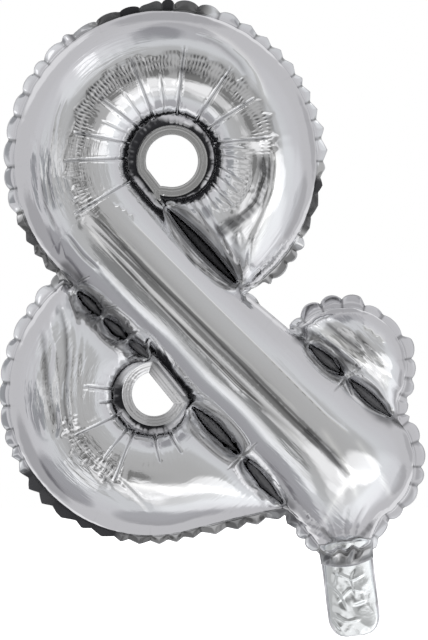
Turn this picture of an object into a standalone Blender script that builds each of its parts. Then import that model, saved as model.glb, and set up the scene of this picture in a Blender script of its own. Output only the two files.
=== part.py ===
"""Air-filled foil balloon in the form of an ampersand: two inflated film panels, the flat welded
rims that join them round the outside, round both eyes and between the strokes, and the flat
filling neck with its folded root, its two plies and its open mouth.

The balloon stands upright in the XZ plane, its front facing -Y. The weld lies at y = 0. The
origin is the middle of the envelope's outline, which is where the air carries it.
"""

import math

import bmesh
import bpy
import numpy as np
from mathutils import Vector
from mathutils.geometry import delaunay_2d_cdt

# Film and weld, in metres. The solids are thicker than film, so that each is a real body.
GAP = 0.0003
RIM_THICKNESS = 0.0012
EDGE_THICKNESS = 0.0006
RIM_WIDTH = 0.0034
LOBE_RISE = 0.0034
LOBE_PITCH = 0.0125
EYE_RIM_WIDTH = 0.0062
FULLNESS = 0.93

# The weld line: two bowls, the diagonal that crosses them, the foot and the raised arm.
UPPER_BOWL = (-0.0307, 0.1014)
UPPER_RADIUS = 0.0974
LOWER_BOWL = (-0.0406, -0.0480)
LOWER_RADIUS = 0.0906
FOOT = (0.0886, -0.0909)
FOOT_RADIUS = 0.0400
ARM = (0.0842, -0.0307)
ARM_RADIUS = 0.0390
UPPER_EYE = (-0.0266, 0.1018)
UPPER_EYE_RADIUS = 0.0230
LOWER_EYE = (-0.0381, -0.0474)
LOWER_EYE_RADIUS = 0.0205

# The filling neck hangs from the foot, a little out of plumb.
NECK_ROOT = (0.0842, -0.1432)
NECK_LENGTH = 0.0592
NECK_WIDTH = 0.0330
NECK_TILT = math.radians(7.0)
NECK_WELD_WIDTH = 0.0034
NECK_WELD_THICKNESS = 0.0016
NECK_BULGE = 0.0030
NECK_PLY = 0.0008
NECK_ROUND = 0.0130
FOLD_TOP = 0.0012
FOLD_HEIGHT = 0.0090
FOLD_SAG = 0.0035
FOLD_THICKNESS = 0.0012


def neck_place(across, along):
    """A point of the neck's own plane in the balloon's X and Z."""
    cosine, sine = math.cos(NECK_TILT), math.sin(NECK_TILT)
    return (
        NECK_ROOT[0] + cosine * across + sine * along,
        NECK_ROOT[1] + sine * across - cosine * along,
    )


# The outline, counter-clockwise. An arc has its centre, radius and its angles in degrees.
# A corner has its place alone.
#   form      centre or place      radius         from   to
OUTLINE = (
    ("arc", UPPER_BOWL, UPPER_RADIUS, -56, 228),
    ("corner", (-0.0906, 0.0218), 0, 0, 0),
    ("arc", LOWER_BOWL, LOWER_RADIUS, 127, 287),
    ("corner", (0.0405, -0.1212), 0, 0, 0),
    ("corner", (0.0470, -0.1212), 0, 0, 0),
    ("corner", (0.0512, -0.1250), 0, 0, 0),
    ("corner", neck_place(-NECK_WIDTH / 2, -GAP), 0, 0, 0),
    ("corner", neck_place(NECK_WIDTH / 2, -GAP), 0, 0, 0),
    ("arc", FOOT, FOOT_RADIUS, -62, 30),
    ("corner", (0.1181, -0.0640), 0, 0, 0),
    ("arc", ARM, ARM_RADIUS, -32, 138),
    ("corner", (0.0579, -0.0115), 0, 0, 0),
    ("corner", (0.0502, -0.0077), 0, 0, 0),
    ("corner", (0.0259, 0.0128), 0, 0, 0),
    ("corner", (0.0189, 0.0186), 0, 0, 0),
)

# Each eye's weld line, with the corner where its bowl runs into the diagonal.
#   name         centre      radius            from  to    corners after the arc
EYES = (
    ("upper_eye", UPPER_EYE, UPPER_EYE_RADIUS, -110, 200, ((-0.0330, 0.0742),)),
    ("lower_eye", LOWER_EYE, LOWER_EYE_RADIUS, 92, 330, ((-0.0176, -0.0531),)),
)

# Flat welds that part the strokes. Each is a lens between two points.
#   name               from                to                  half width
WEBS = (
    ("upper_right_web", (-0.0291, 0.0704), (0.0144, 0.0237), 0.0032),
    ("left_web_a", (-0.0854, 0.0166), (-0.0726, 0.0038), 0.0026),
    ("left_web_b", (-0.0682, -0.0006), (-0.0566, -0.0109), 0.0026),
    ("left_web_c", (-0.0528, -0.0141), (-0.0419, -0.0237), 0.0026),
    ("lower_web_a", (-0.0125, -0.0563), (0.0150, -0.0838), 0.0038),
    ("lower_web_b", (0.0208, -0.0902), (0.0438, -0.1171), 0.0038),
    ("arm_web_a", (0.0592, -0.0141), (0.0816, -0.0339), 0.0038),
    ("arm_web_b", (0.0874, -0.0390), (0.1130, -0.0614), 0.0038),
)

# Mesh sizes.
SEAM_STEP = 0.0062
LATTICE_STEP = 0.0085
NEAR_SEAM = 0.0013
RING_OFFSETS = (0.0016, 0.0045)
LOBE_POINTS = 6

# Finishes: colour, metallic, roughness.
FINISHES = {
    "silver_film": ((0.80, 0.80, 0.82), 1.0, 0.16),
    "weld_film": ((0.70, 0.69, 0.72), 1.0, 0.28),
}


def clear_scene():
    """Remove every object, so that the balloon stands alone."""
    for old in list(bpy.data.objects):
        bpy.data.objects.remove(old, do_unlink=True)


def finish(name):
    """Return the named Principled material, made once."""
    made = bpy.data.materials.get(name)
    if made:
        return made
    colour, metallic, roughness = FINISHES[name]
    made = bpy.data.materials.new(name)
    made.use_nodes = True
    shader = made.node_tree.nodes["Principled BSDF"]
    shader.inputs["Base Color"].default_value = (*colour, 1.0)
    shader.inputs["Metallic"].default_value = metallic
    shader.inputs["Roughness"].default_value = roughness
    return made


def arc_points(centre, radius, start, end, step):
    """Points along an arc, both ends included, about a step apart."""
    count = max(2, round(abs(math.radians(end - start)) * radius / step))
    angles = np.radians(np.linspace(start, end, count + 1))
    return [(centre[0] + radius * math.cos(a), centre[1] + radius * math.sin(a)) for a in angles]


def closed_path(points, step):
    """Fill the straight runs of a closed path with points about a step apart."""
    path = []
    for here, there in zip(points, points[1:] + points[:1]):
        length = math.dist(here, there)
        if length < step * 0.3:
            continue
        count = max(1, round(length / step))
        for index in range(count):
            share = index / count
            path.append(tuple(h + (t - h) * share for h, t in zip(here, there)))
    return np.array(path)


def outline_path(step):
    """The outer weld line, counter-clockwise."""
    points = []
    for form, centre, radius, start, end in OUTLINE:
        if form == "arc":
            points += arc_points(centre, radius, start, end, step)
        else:
            points.append(centre)
    return closed_path(points, step)


def eye_path(centre, radius, start, end, corners, step):
    """One eye's weld line, counter-clockwise."""
    return closed_path(arc_points(centre, radius, start, end, step) + list(corners), step)


def lens_path(start, end, half_width, step):
    """A pointed lens between two points, counter-clockwise."""
    start, end = np.array(start), np.array(end)
    length = np.linalg.norm(end - start)
    along = (end - start) / length
    across = np.array((-along[1], along[0]))
    count = max(4, round(length / step))
    shares = np.linspace(0, 1, count + 1)
    reach = half_width * np.sin(np.pi * shares)
    lower = [start + along * length * s - across * r for s, r in zip(shares, reach)]
    upper = [start + along * length * s + across * r for s, r in zip(shares, reach)]
    return np.array(lower + upper[-2:0:-1])


def outward(path):
    """Unit normals of a counter-clockwise path, one a point, pointing away from its inside."""
    run = np.roll(path, -1, axis=0) - np.roll(path, 1, axis=0)
    normal = np.stack([run[:, 1], -run[:, 0]], axis=1)
    return normal / np.linalg.norm(normal, axis=1, keepdims=True)


def inside(points, path):
    """Which points a closed path goes round, also where the path overlaps itself."""
    x, z = points[:, 0], points[:, 1]
    turns = np.zeros(len(points), int)
    for (x0, z0), (x1, z1) in zip(path, np.roll(path, -1, axis=0)):
        left = (x1 - x0) * (z - z0) - (x - x0) * (z1 - z0)
        turns += (z0 <= z) & (z1 > z) & (left > 0)
        turns -= (z0 > z) & (z1 <= z) & (left < 0)
    return turns != 0


def distance(points, path):
    """The distance from each point to a closed path."""
    nearest = np.full(len(points), np.inf)
    for here, there in zip(path, np.roll(path, -1, axis=0)):
        run = there - here
        share = np.clip(((points - here) @ run) / (run @ run), 0, 1)
        nearest = np.minimum(nearest, np.linalg.norm(points - here - share[:, None] * run, axis=1))
    return nearest


def triangulate(points, paths):
    """Triangulate points so that the closed paths are edges.

    Returns the flat points and the triangles, counter-clockwise.
    """
    flat, edges = [], []
    for path in paths:
        first = len(flat)
        flat += [Vector(p) for p in path]
        edges += [(first + i, first + (i + 1) % len(path)) for i in range(len(path))]
    flat += [Vector(p) for p in points]
    found, _, faces, *_ = delaunay_2d_cdt(flat, edges, [], 0, 1e-7)
    found = np.array(found)
    faces = np.array([f for f in faces if len(f) == 3])
    a, b, c = (found[faces[:, i]] for i in range(3))
    turn = (b[:, 0] - a[:, 0]) * (c[:, 1] - a[:, 1]) - (b[:, 1] - a[:, 1]) * (c[:, 0] - a[:, 0])
    faces[turn < 0] = faces[turn < 0][:, ::-1]
    return found, faces[abs(turn) > 1e-13]


def lattice(low, high, step):
    """A hexagonal lattice of points over a rectangle."""
    rows = np.arange(low[1], high[1], step * math.sqrt(3) / 2)
    found = []
    for index, z in enumerate(rows):
        for x in np.arange(low[0] + (index % 2) * step / 2, high[0], step):
            found.append((x, z))
    return np.array(found)


def swell(points, faces, held):
    """How far an inflated film stands off the weld plane at each flat point.

    The film's height is the square root of twice a membrane's sag, which makes a round
    section of every straight stroke.
    """
    count = len(points)
    stiffness = np.zeros((count, count))
    load = np.zeros(count)
    for corners in faces:
        p = points[corners]
        area = 0.5 * abs(np.cross(p[1] - p[0], p[2] - p[0]))
        opposite = np.array([p[2] - p[1], p[0] - p[2], p[1] - p[0]])
        stiffness[np.ix_(corners, corners)] += opposite @ opposite.T / (4 * area)
        load[corners] += area / 3
    free = ~held
    sag = np.zeros(count)
    sag[free] = np.linalg.solve(stiffness[np.ix_(free, free)], load[free])
    return FULLNESS * np.sqrt(2 * np.maximum(sag, 0))


def make_object(name, vertices, faces, finish_name, smooth_angle=40):
    """Make one named mesh object whose faces point out."""
    mesh = bpy.data.meshes.new(name)
    mesh.from_pydata([tuple(v) for v in vertices], [], [tuple(f) for f in faces])
    shaped = bmesh.new()
    shaped.from_mesh(mesh)
    bmesh.ops.recalc_face_normals(shaped, faces=shaped.faces)
    shaped.to_mesh(mesh)
    shaped.free()
    mesh.shade_smooth()
    mesh.set_sharp_from_angle(angle=math.radians(smooth_angle))
    made = bpy.data.objects.new(name, mesh)
    made.data.materials.append(finish(finish_name))
    bpy.context.scene.collection.objects.link(made)
    return made


def border_edges(faces):
    """The directed edges that only one triangle has."""
    directed = {(int(f[i]), int(f[(i + 1) % 3])) for f in faces for i in range(3)}
    return [edge for edge in directed if (edge[1], edge[0]) not in directed]


def panel_object(name, side, points, faces, height):
    """One inflated half: a swollen face, a flat face at the weld plane and a thin edge.

    The side is -1 for the front and 1 for the back.
    """
    count = len(points)
    inner = [(x, side * GAP / 2, z) for x, z in points]
    outer = [(x, side * (GAP / 2 + EDGE_THICKNESS + h), z) for (x, z), h in zip(points, height)]
    solid = [tuple(f) for f in faces] + [tuple(i + count for i in f[::-1]) for f in faces]
    solid += [(a, b, b + count, a + count) for a, b in border_edges(faces)]
    return make_object(name, inner + outer, solid, "silver_film")


def flat_object(name, points, faces, thickness, middle, finish_name):
    """A flat plate with its faces at the middle plus and minus half of its thickness."""
    used = np.unique(faces)
    faces = np.searchsorted(used, faces)
    points = points[used]
    count = len(points)
    low = [(x, middle - thickness / 2, z) for x, z in points]
    high = [(x, middle + thickness / 2, z) for x, z in points]
    solid = [tuple(f) for f in faces] + [tuple(i + count for i in f[::-1]) for f in faces]
    solid += [(a, b, b + count, a + count) for a, b in border_edges(faces)]
    return make_object(name, low + high, solid, finish_name)


def build_panels(outline, eyes, webs):
    """The front and back panels, swollen from the weld lines."""
    holes = eyes + webs
    rings = []
    for path, sign in [(outline, -1)] + [(hole, 1) for hole in holes]:
        for offset in RING_OFFSETS:
            rings.append(path + sign * offset * outward(path))
    low, high = outline.min(axis=0), outline.max(axis=0)
    rows = [np.concatenate(rings), lattice(low, high, LATTICE_STEP)]
    clear = (NEAR_SEAM, RING_OFFSETS[-1] + LATTICE_STEP * 0.45)
    kept = []
    for group, room in zip(rows, clear):
        good = inside(group, outline)
        for hole in holes:
            good &= ~inside(group, hole)
        group = group[good]
        nearest = np.min([distance(group, path) for path in [outline] + holes], axis=0)
        kept.append(group[nearest > room])
    rings, field = thin(kept[0], RING_OFFSETS[0] * 1.2), kept[1]
    points, faces = triangulate(np.concatenate([rings, field]), [outline] + holes)
    middle = points[faces].mean(axis=1)
    good = inside(middle, outline)
    for hole in holes:
        good &= ~inside(middle, hole)
    faces = faces[good]
    used = np.unique(faces)
    faces, points = np.searchsorted(used, faces), points[used]
    held = np.zeros(len(points), bool)
    held[[a for edge in border_edges(faces) for a in edge]] = True
    height = swell(points, faces, held)
    panel_object("front_panel", -1, points, faces, height)
    panel_object("back_panel", 1, points, faces, height)


def thin(points, least):
    """Drop each point that lies nearer than the least distance to one kept before it."""
    kept = []
    for point in points:
        if not kept or np.min(np.linalg.norm(np.array(kept) - point, axis=1)) > least:
            kept.append(point)
    return np.array(kept)


def build_outer_rim(outline):
    """The flat flange outside the weld, with a lobe between each two puckers."""
    inner = outline_path(SEAM_STEP * 0.5)
    inner = inner + outward(inner) * GAP
    steps = np.linalg.norm(np.roll(inner, -1, axis=0) - inner, axis=1)
    lobes = round(steps.sum() / LOBE_PITCH)
    fine = closed_path([tuple(p) for p in inner], LOBE_PITCH / LOBE_POINTS)
    run = np.concatenate([[0], np.cumsum(np.linalg.norm(np.diff(fine, axis=0), axis=1))])
    phase = run / (run[-1] + math.dist(fine[-1], fine[0])) * lobes
    rise = LOBE_RISE * np.sqrt(np.abs(np.sin(np.pi * phase)))
    outer = fine + outward(fine) * (RIM_WIDTH + rise)[:, None]
    band = neck_band()
    points, faces = triangulate(np.empty((0, 2)), [outer, inner, band])
    middle = points[faces].mean(axis=1)
    good = inside(middle, outer) & ~inside(middle, inner) & ~inside(middle, outline)
    good &= ~inside(middle, band)
    flat_object("outer_rim", points, faces[good], RIM_THICKNESS, 0, "weld_film")


def neck_band():
    """The band that the neck's root takes out of the rim, with a gap on each side of it."""
    half = NECK_WIDTH / 2 + GAP
    corners = ((-half, -RIM_WIDTH), (-half, FOLD_HEIGHT), (half, FOLD_HEIGHT), (half, -RIM_WIDTH))
    return np.array([neck_place(across, along) for across, along in corners])


def build_eye_rims(eyes):
    """The flat film ring inside each eye's weld, open in the middle."""
    for (name, *_), path in zip(EYES, eyes):
        outer = path - outward(path) * GAP
        centre = np.mean(outer, axis=0)
        reach = np.linalg.norm(outer - centre, axis=1)
        inner = centre + (outer - centre) * (1 - EYE_RIM_WIDTH / reach)[:, None]
        points, faces = triangulate(np.empty((0, 2)), [outer, inner])
        middle = points[faces].mean(axis=1)
        good = inside(middle, outer) & ~inside(middle, inner)
        flat_object(f"{name}_rim", points, faces[good], RIM_THICKNESS, 0, "weld_film")


def build_webs():
    """The flat lens-shaped welds that part the strokes."""
    for name, start, end, half_width in WEBS:
        path = lens_path(start, end, half_width - GAP, SEAM_STEP)
        points, faces = triangulate(np.empty((0, 2)), [path])
        flat_object(name, points, faces, RIM_THICKNESS, 0, "weld_film")


def neck_half_width(along):
    """Half the neck's width at a distance down it: straight, then round at the mouth."""
    left = NECK_LENGTH - along
    if left >= NECK_ROUND:
        return NECK_WIDTH / 2
    share = 1 - left / NECK_ROUND
    return NECK_WIDTH / 2 - NECK_ROUND * 0.8 * (1 - math.sqrt(max(0.0, 1 - share * share)))


def build_neck_ply(name, side):
    """One ply of the neck, bulging away from the other so that the mouth stands open."""
    across_steps, along_steps = 10, 12
    pocket = NECK_WIDTH / 2 - NECK_WELD_WIDTH - GAP
    columns, rows = across_steps + 1, along_steps + 1
    vertices, faces = [], []
    for layer in (0, 1):
        for row in range(rows):
            along = NECK_LENGTH * row / along_steps
            half = min(pocket, neck_half_width(along))
            for column in range(columns):
                across = half * (2 * column / across_steps - 1)
                x, z = neck_place(across, along)
                depth = GAP / 2 + NECK_BULGE * (1 - (across / pocket) ** 2) + layer * NECK_PLY
                vertices.append((x, side * depth, z))
    size = columns * rows
    for row in range(along_steps):
        for column in range(across_steps):
            a = row * columns + column
            quad = (a, a + 1, a + columns + 1, a + columns)
            faces.append(quad)
            faces.append(tuple(i + size for i in quad[::-1]))
    border = [(row * columns, (row + 1) * columns) for row in range(along_steps)]
    border += [((row + 2) * columns - 1, (row + 1) * columns - 1) for row in range(along_steps)]
    border += [(column + 1, column) for column in range(across_steps)]
    last = along_steps * columns
    border += [(last + column, last + column + 1) for column in range(across_steps)]
    faces += [(a, b, b + size, a + size) for a, b in border]
    make_object(name, vertices, faces, "silver_film", 60)


def build_neck_weld(name, side):
    """The flat weld down one side of the neck, which ends where the mouth's round begins."""
    steps = 10
    inner = NECK_WIDTH / 2 - NECK_WELD_WIDTH
    rows = [(NECK_LENGTH - NECK_ROUND * 0.45) * step / steps for step in range(steps + 1)]
    edge = [neck_place(side * neck_half_width(along), along) for along in rows]
    edge += [neck_place(side * inner, along) for along in reversed(rows)]
    path = np.array(edge)
    points, faces = triangulate(np.empty((0, 2)), [path])
    good = inside(points[faces].mean(axis=1), path)
    flat_object(name, points, faces[good], NECK_WELD_THICKNESS, 0, "weld_film")


def build_neck():
    """The neck's two plies, their side welds and the fold of film across the root."""
    for name, side in (("neck_front_ply", -1), ("neck_back_ply", 1)):
        build_neck_ply(name, side)
    for name, side in (("neck_left_weld", -1), ("neck_right_weld", 1)):
        build_neck_weld(name, side)
    path = np.array([neck_place(across, along) for across, along in fold_outline()])
    points, faces = triangulate(np.empty((0, 2)), [path])
    good = inside(points[faces].mean(axis=1), path)
    front = -(GAP * 1.5 + NECK_BULGE + NECK_PLY + FOLD_THICKNESS / 2)
    flat_object("neck_root_fold", points, faces[good], FOLD_THICKNESS, front, "weld_film")


def fold_outline():
    """The fold across the neck's root: a straight top and a sagging lower edge."""
    half = NECK_WIDTH / 2 - GAP
    shares = np.linspace(-1, 1, 9)
    lower = [(half * s, FOLD_TOP + FOLD_HEIGHT + FOLD_SAG * (1 - s * s)) for s in shares]
    return [(half, FOLD_TOP), (-half, FOLD_TOP)] + lower


def main():
    """Build every piece of the balloon."""
    clear_scene()
    outline = outline_path(SEAM_STEP)
    eyes = [eye_path(*row[1:], SEAM_STEP * 0.6) for row in EYES]
    webs = [lens_path(start, end, half, SEAM_STEP) for _, start, end, half in WEBS]
    build_panels(outline, eyes, webs)
    build_outer_rim(outline)
    build_eye_rims(eyes)
    build_webs()
    build_neck()


main()
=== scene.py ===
"""Looks of the ampersand foil balloon: two inflated films with their tucks, gathers and long creases,
the puckered weld rim, the rings in both eyes, the welds between the strokes and the filling neck,
in a pale studio."""
import logging
import math
from collections.abc import Callable, Iterable
from dataclasses import dataclass, field
from enum import Enum

import bpy
import numpy as np
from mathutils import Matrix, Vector
from mathutils.geometry import delaunay_2d_cdt
from mathutils.kdtree import KDTree


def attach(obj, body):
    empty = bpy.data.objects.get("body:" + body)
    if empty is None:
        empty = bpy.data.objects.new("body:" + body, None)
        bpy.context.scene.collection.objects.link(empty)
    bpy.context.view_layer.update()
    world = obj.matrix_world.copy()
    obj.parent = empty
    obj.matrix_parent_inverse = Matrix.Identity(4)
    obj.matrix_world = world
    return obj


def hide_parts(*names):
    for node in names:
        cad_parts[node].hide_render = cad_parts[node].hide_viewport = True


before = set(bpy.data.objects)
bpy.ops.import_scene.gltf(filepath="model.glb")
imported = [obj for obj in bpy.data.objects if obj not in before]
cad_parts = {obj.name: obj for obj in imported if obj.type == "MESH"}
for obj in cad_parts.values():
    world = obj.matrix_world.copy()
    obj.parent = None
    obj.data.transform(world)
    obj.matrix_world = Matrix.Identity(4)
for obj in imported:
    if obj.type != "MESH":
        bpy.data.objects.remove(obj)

LOG = logging.getLogger("balloon")
Array = np.ndarray
MM = 0.001
SEED = 20

# The photo's own scale and middle, by which a crease is placed on the weld plane.
PIXEL = 0.64 * MM
MIDDLE_PIXEL = (213.5, 320.0)
FRAME_PIXELS = (428, 640)

# The weld line's driving sizes, as the solids have them: centre in X and Z, and radius.
UPPER_BOWL, UPPER_RADIUS = (-30.7 * MM, 101.4 * MM), 97.4 * MM
LOWER_BOWL, LOWER_RADIUS = (-40.6 * MM, -48.0 * MM), 90.6 * MM
FOOT, FOOT_RADIUS = (88.6 * MM, -90.9 * MM), 40.0 * MM
ARM, ARM_RADIUS = (84.2 * MM, -30.7 * MM), 39.0 * MM
UPPER_EYE, UPPER_EYE_RADIUS = (-26.6 * MM, 101.8 * MM), 23.0 * MM
LOWER_EYE, LOWER_EYE_RADIUS = (-38.1 * MM, -47.4 * MM), 20.5 * MM
NECK_ROOT, NECK_TILT = (84.2 * MM, -143.2 * MM), math.radians(7.0)
NECK_WIDTH, NECK_LENGTH = 33.0 * MM, 59.2 * MM
FULLNESS = 0.93
# How far the long stroke's middle line lies off the line of equal column and row, in photo pixels.
STROKE_OFFSET = 125


def at(column: float, row: float) -> tuple[float, float]:
    """X and Z in metres of a photo pixel on the weld plane."""
    return (column - MIDDLE_PIXEL[0]) * PIXEL, (MIDDLE_PIXEL[1] - row) * PIXEL


def neck_place(across: float, along: float) -> tuple[float, float]:
    """X and Z of a point across and down the neck."""
    cosine, sine = math.cos(NECK_TILT), math.sin(NECK_TILT)
    return NECK_ROOT[0] + cosine * across + sine * along, NECK_ROOT[1] + sine * across - cosine * along


def smooth(share: Array) -> Array:
    """A share from 0 to 1, made level at both ends."""
    return share * share * (3 - 2 * share)


def ease(low: float, high: float, value: Array) -> Array:
    """Smooth step from 0 at low to 1 at high."""
    return smooth(np.clip((value - low) / (high - low), 0, 1))


def hump(low: float, rise: float, fall: float, high: float, value: Array) -> Array:
    """Smooth window that is 1 from rise to fall and 0 outside low and high."""
    return ease(low, rise, value) * (1 - ease(fall, high, value))


def diagonal(x: Array, z: Array) -> tuple[Array, Array]:
    """The same places measured down the long stroke and across it, which lies at 45 degrees."""
    return (x - z) / math.sqrt(2), (x + z) / math.sqrt(2)


def paired(row: tuple) -> tuple:
    """Numbers written x, y, x, y and so on, as pairs."""
    return tuple(zip(row[::2], row[1::2]))


class Noise:
    """Smooth value noise on a fixed random table."""

    cells = 64

    def __init__(self, seed: int) -> None:
        """Fill the table from a fixed seed."""
        self.table = np.random.default_rng(seed).random((self.cells, self.cells))

    def corner(self, column: Array, row: Array) -> Array:
        """The table's values at whole columns and rows, repeated past its edges."""
        return self.table[column % self.cells, row % self.cells]

    def __call__(self, across: Array, along: Array) -> Array:
        """Noise from -1 to 1.

        Args:
            across: first coordinate, one cell a unit.
            along: second coordinate, one cell a unit.

        Returns:
            The noise at each place.
        """
        column, row = np.floor(across).astype(int), np.floor(along).astype(int)
        aside, up = smooth(across - column), smooth(along - row)
        low = self.corner(column, row) * (1 - aside) + self.corner(column + 1, row) * aside
        high = self.corner(column, row + 1) * (1 - aside) + self.corner(column + 1, row + 1) * aside
        return 2 * (low * (1 - up) + high * up) - 1


# Plane geometry


def measured(corners: Array) -> Array:
    """How far down a line each of its corners lies."""
    return np.concatenate([[0], np.cumsum(np.linalg.norm(np.diff(corners, axis=0), axis=1))])


def placed(corners: Array, marks: Array) -> Array:
    """The points that lie so far down a line."""
    return np.stack([np.interp(marks, measured(corners), corners[:, i]) for i in (0, 1)], axis=1)


def even_path(points: list, step: float) -> Array:
    """Points spread evenly along a closed path.

    Args:
        points: X and Z pairs, the last joined to the first.
        step: about how far apart the points lie.

    Returns:
        The points, one a row.
    """
    corners = np.array(points + [points[0]], float)
    length = measured(corners)[-1]
    count = max(8, round(length / step))
    return placed(corners, np.arange(count) * length / count)


def outward(path: Array, blur: int) -> Array:
    """Unit normals of a counter-clockwise path.

    Args:
        path: X and Z of the path's points.
        blur: how many points each way a normal is softened over.

    Returns:
        One normal for each point.
    """
    run = np.roll(path, -1, axis=0) - np.roll(path, 1, axis=0)
    normal = np.stack([run[:, 1], -run[:, 0]], axis=1)
    normal /= np.linalg.norm(normal, axis=1, keepdims=True)
    soft = sum(np.roll(normal, shift, axis=0) for shift in range(-blur, blur + 1))
    return soft / np.linalg.norm(soft, axis=1, keepdims=True)


def inside(points: Array, path: Array) -> Array:
    """Which points a closed path goes round.

    Args:
        points: X and Z of the points.
        path: X and Z of the path's corners.

    Returns:
        True for each point inside.
    """
    x, z = points[:, 0], points[:, 1]
    turns = np.zeros(len(points), int)
    for (x0, z0), (x1, z1) in zip(path, np.roll(path, -1, axis=0)):
        near = (np.minimum(z0, z1) <= z) & (z < np.maximum(z0, z1))
        if near.any():
            left = (x1 - x0) * (z[near] - z0) - (x[near] - x0) * (z1 - z0)
            turns[near] += np.where(z1 > z0, left > 0, -(left < 0).astype(int))
    return turns != 0


def nearest(points: Array, marks: Array) -> tuple[Array, Array]:
    """The nearest mark to each point.

    Args:
        points: the places asked about, one a row.
        marks: the places searched.

    Returns:
        The mark's index and its distance, for each point.
    """
    tree = KDTree(len(marks))
    for index, (x, z) in enumerate(marks):
        tree.insert((x, z, 0), index)
    tree.balance()
    found = [tree.find((x, z, 0))[1:] for x, z in points]
    return np.array([i for i, _ in found]), np.array([d for _, d in found])


def lattice(low: Array, high: Array, step: float) -> Array:
    """A hexagonal lattice of points over a rectangle.

    Args:
        low: the rectangle's lower corner.
        high: its upper corner.
        step: how far apart neighbours lie.

    Returns:
        The points, one a row.
    """
    columns = np.arange(low[0], high[0], step)
    rows = enumerate(np.arange(low[1], high[1], step * math.sqrt(3) / 2))
    lines = (np.stack([columns + (i % 2) * step / 2, np.full(len(columns), z)], axis=1) for i, z in rows)
    return np.concatenate(list(lines))


def triangulate(points: Array, paths: list) -> tuple[Array, Array]:
    """Triangulate points so that the closed paths are edges.

    Args:
        points: loose points, one a row.
        paths: closed paths, which come first in the result.

    Returns:
        The points and the counter-clockwise triangles.
    """
    flat, edges = [], []
    for path in paths:
        first, count = len(flat), len(path)
        flat += [Vector(p) for p in path]
        edges += [(first + i, first + (i + 1) % count) for i in range(count)]
    flat += [Vector(p) for p in points]
    found, _, faces, *_ = delaunay_2d_cdt(flat, edges, [], 0, 1e-8)
    found = np.array(found)
    return found, turned_up(found, np.array([f for f in faces if len(f) == 3]))


def turned_up(points: Array, faces: Array) -> Array:
    """Triangles that all turn counter-clockwise.

    Args:
        points: X and Z of the corners.
        faces: the triangles.

    Returns:
        The triangles, without those of no area.
    """
    a, b, c = (points[faces[:, i]] for i in range(3))
    turn = (b[:, 0] - a[:, 0]) * (c[:, 1] - a[:, 1]) - (b[:, 1] - a[:, 1]) * (c[:, 0] - a[:, 0])
    faces = faces.copy()
    faces[turn < 0] = faces[turn < 0][:, ::-1]
    no_area = 1e-15
    return faces[abs(turn) > no_area]


def lens_path(start: Array, end: Array, half_width: float, step: float) -> Array:
    """A pointed lens between two places.

    Args:
        start: X and Z of one tip.
        end: X and Z of the other.
        half_width: half its greatest width.
        step: about how far apart the points lie.

    Returns:
        The lens's points, counter-clockwise.
    """
    along = (end - start) / np.linalg.norm(end - start)
    across = np.array((-along[1], along[0]))
    shares = np.linspace(0, 1, 25)
    reach = half_width * np.sin(np.pi * shares)
    lower, upper = (
        [tuple(start + (end - start) * s + side * across * r) for s, r in zip(shares, reach)]
        for side in (-1, 1)
    )
    return even_path(lower + upper[-2:0:-1], step)


def quad_grid(columns: int, rows: int) -> Array:
    """The quads of a grid whose points are numbered along each row in turn."""
    index = np.arange((rows + 1) * (columns + 1)).reshape(rows + 1, columns + 1)
    corners = index[:-1, :-1], index[1:, :-1], index[1:, 1:], index[:-1, 1:]
    return np.stack([corner.ravel() for corner in corners], axis=1)


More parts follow.
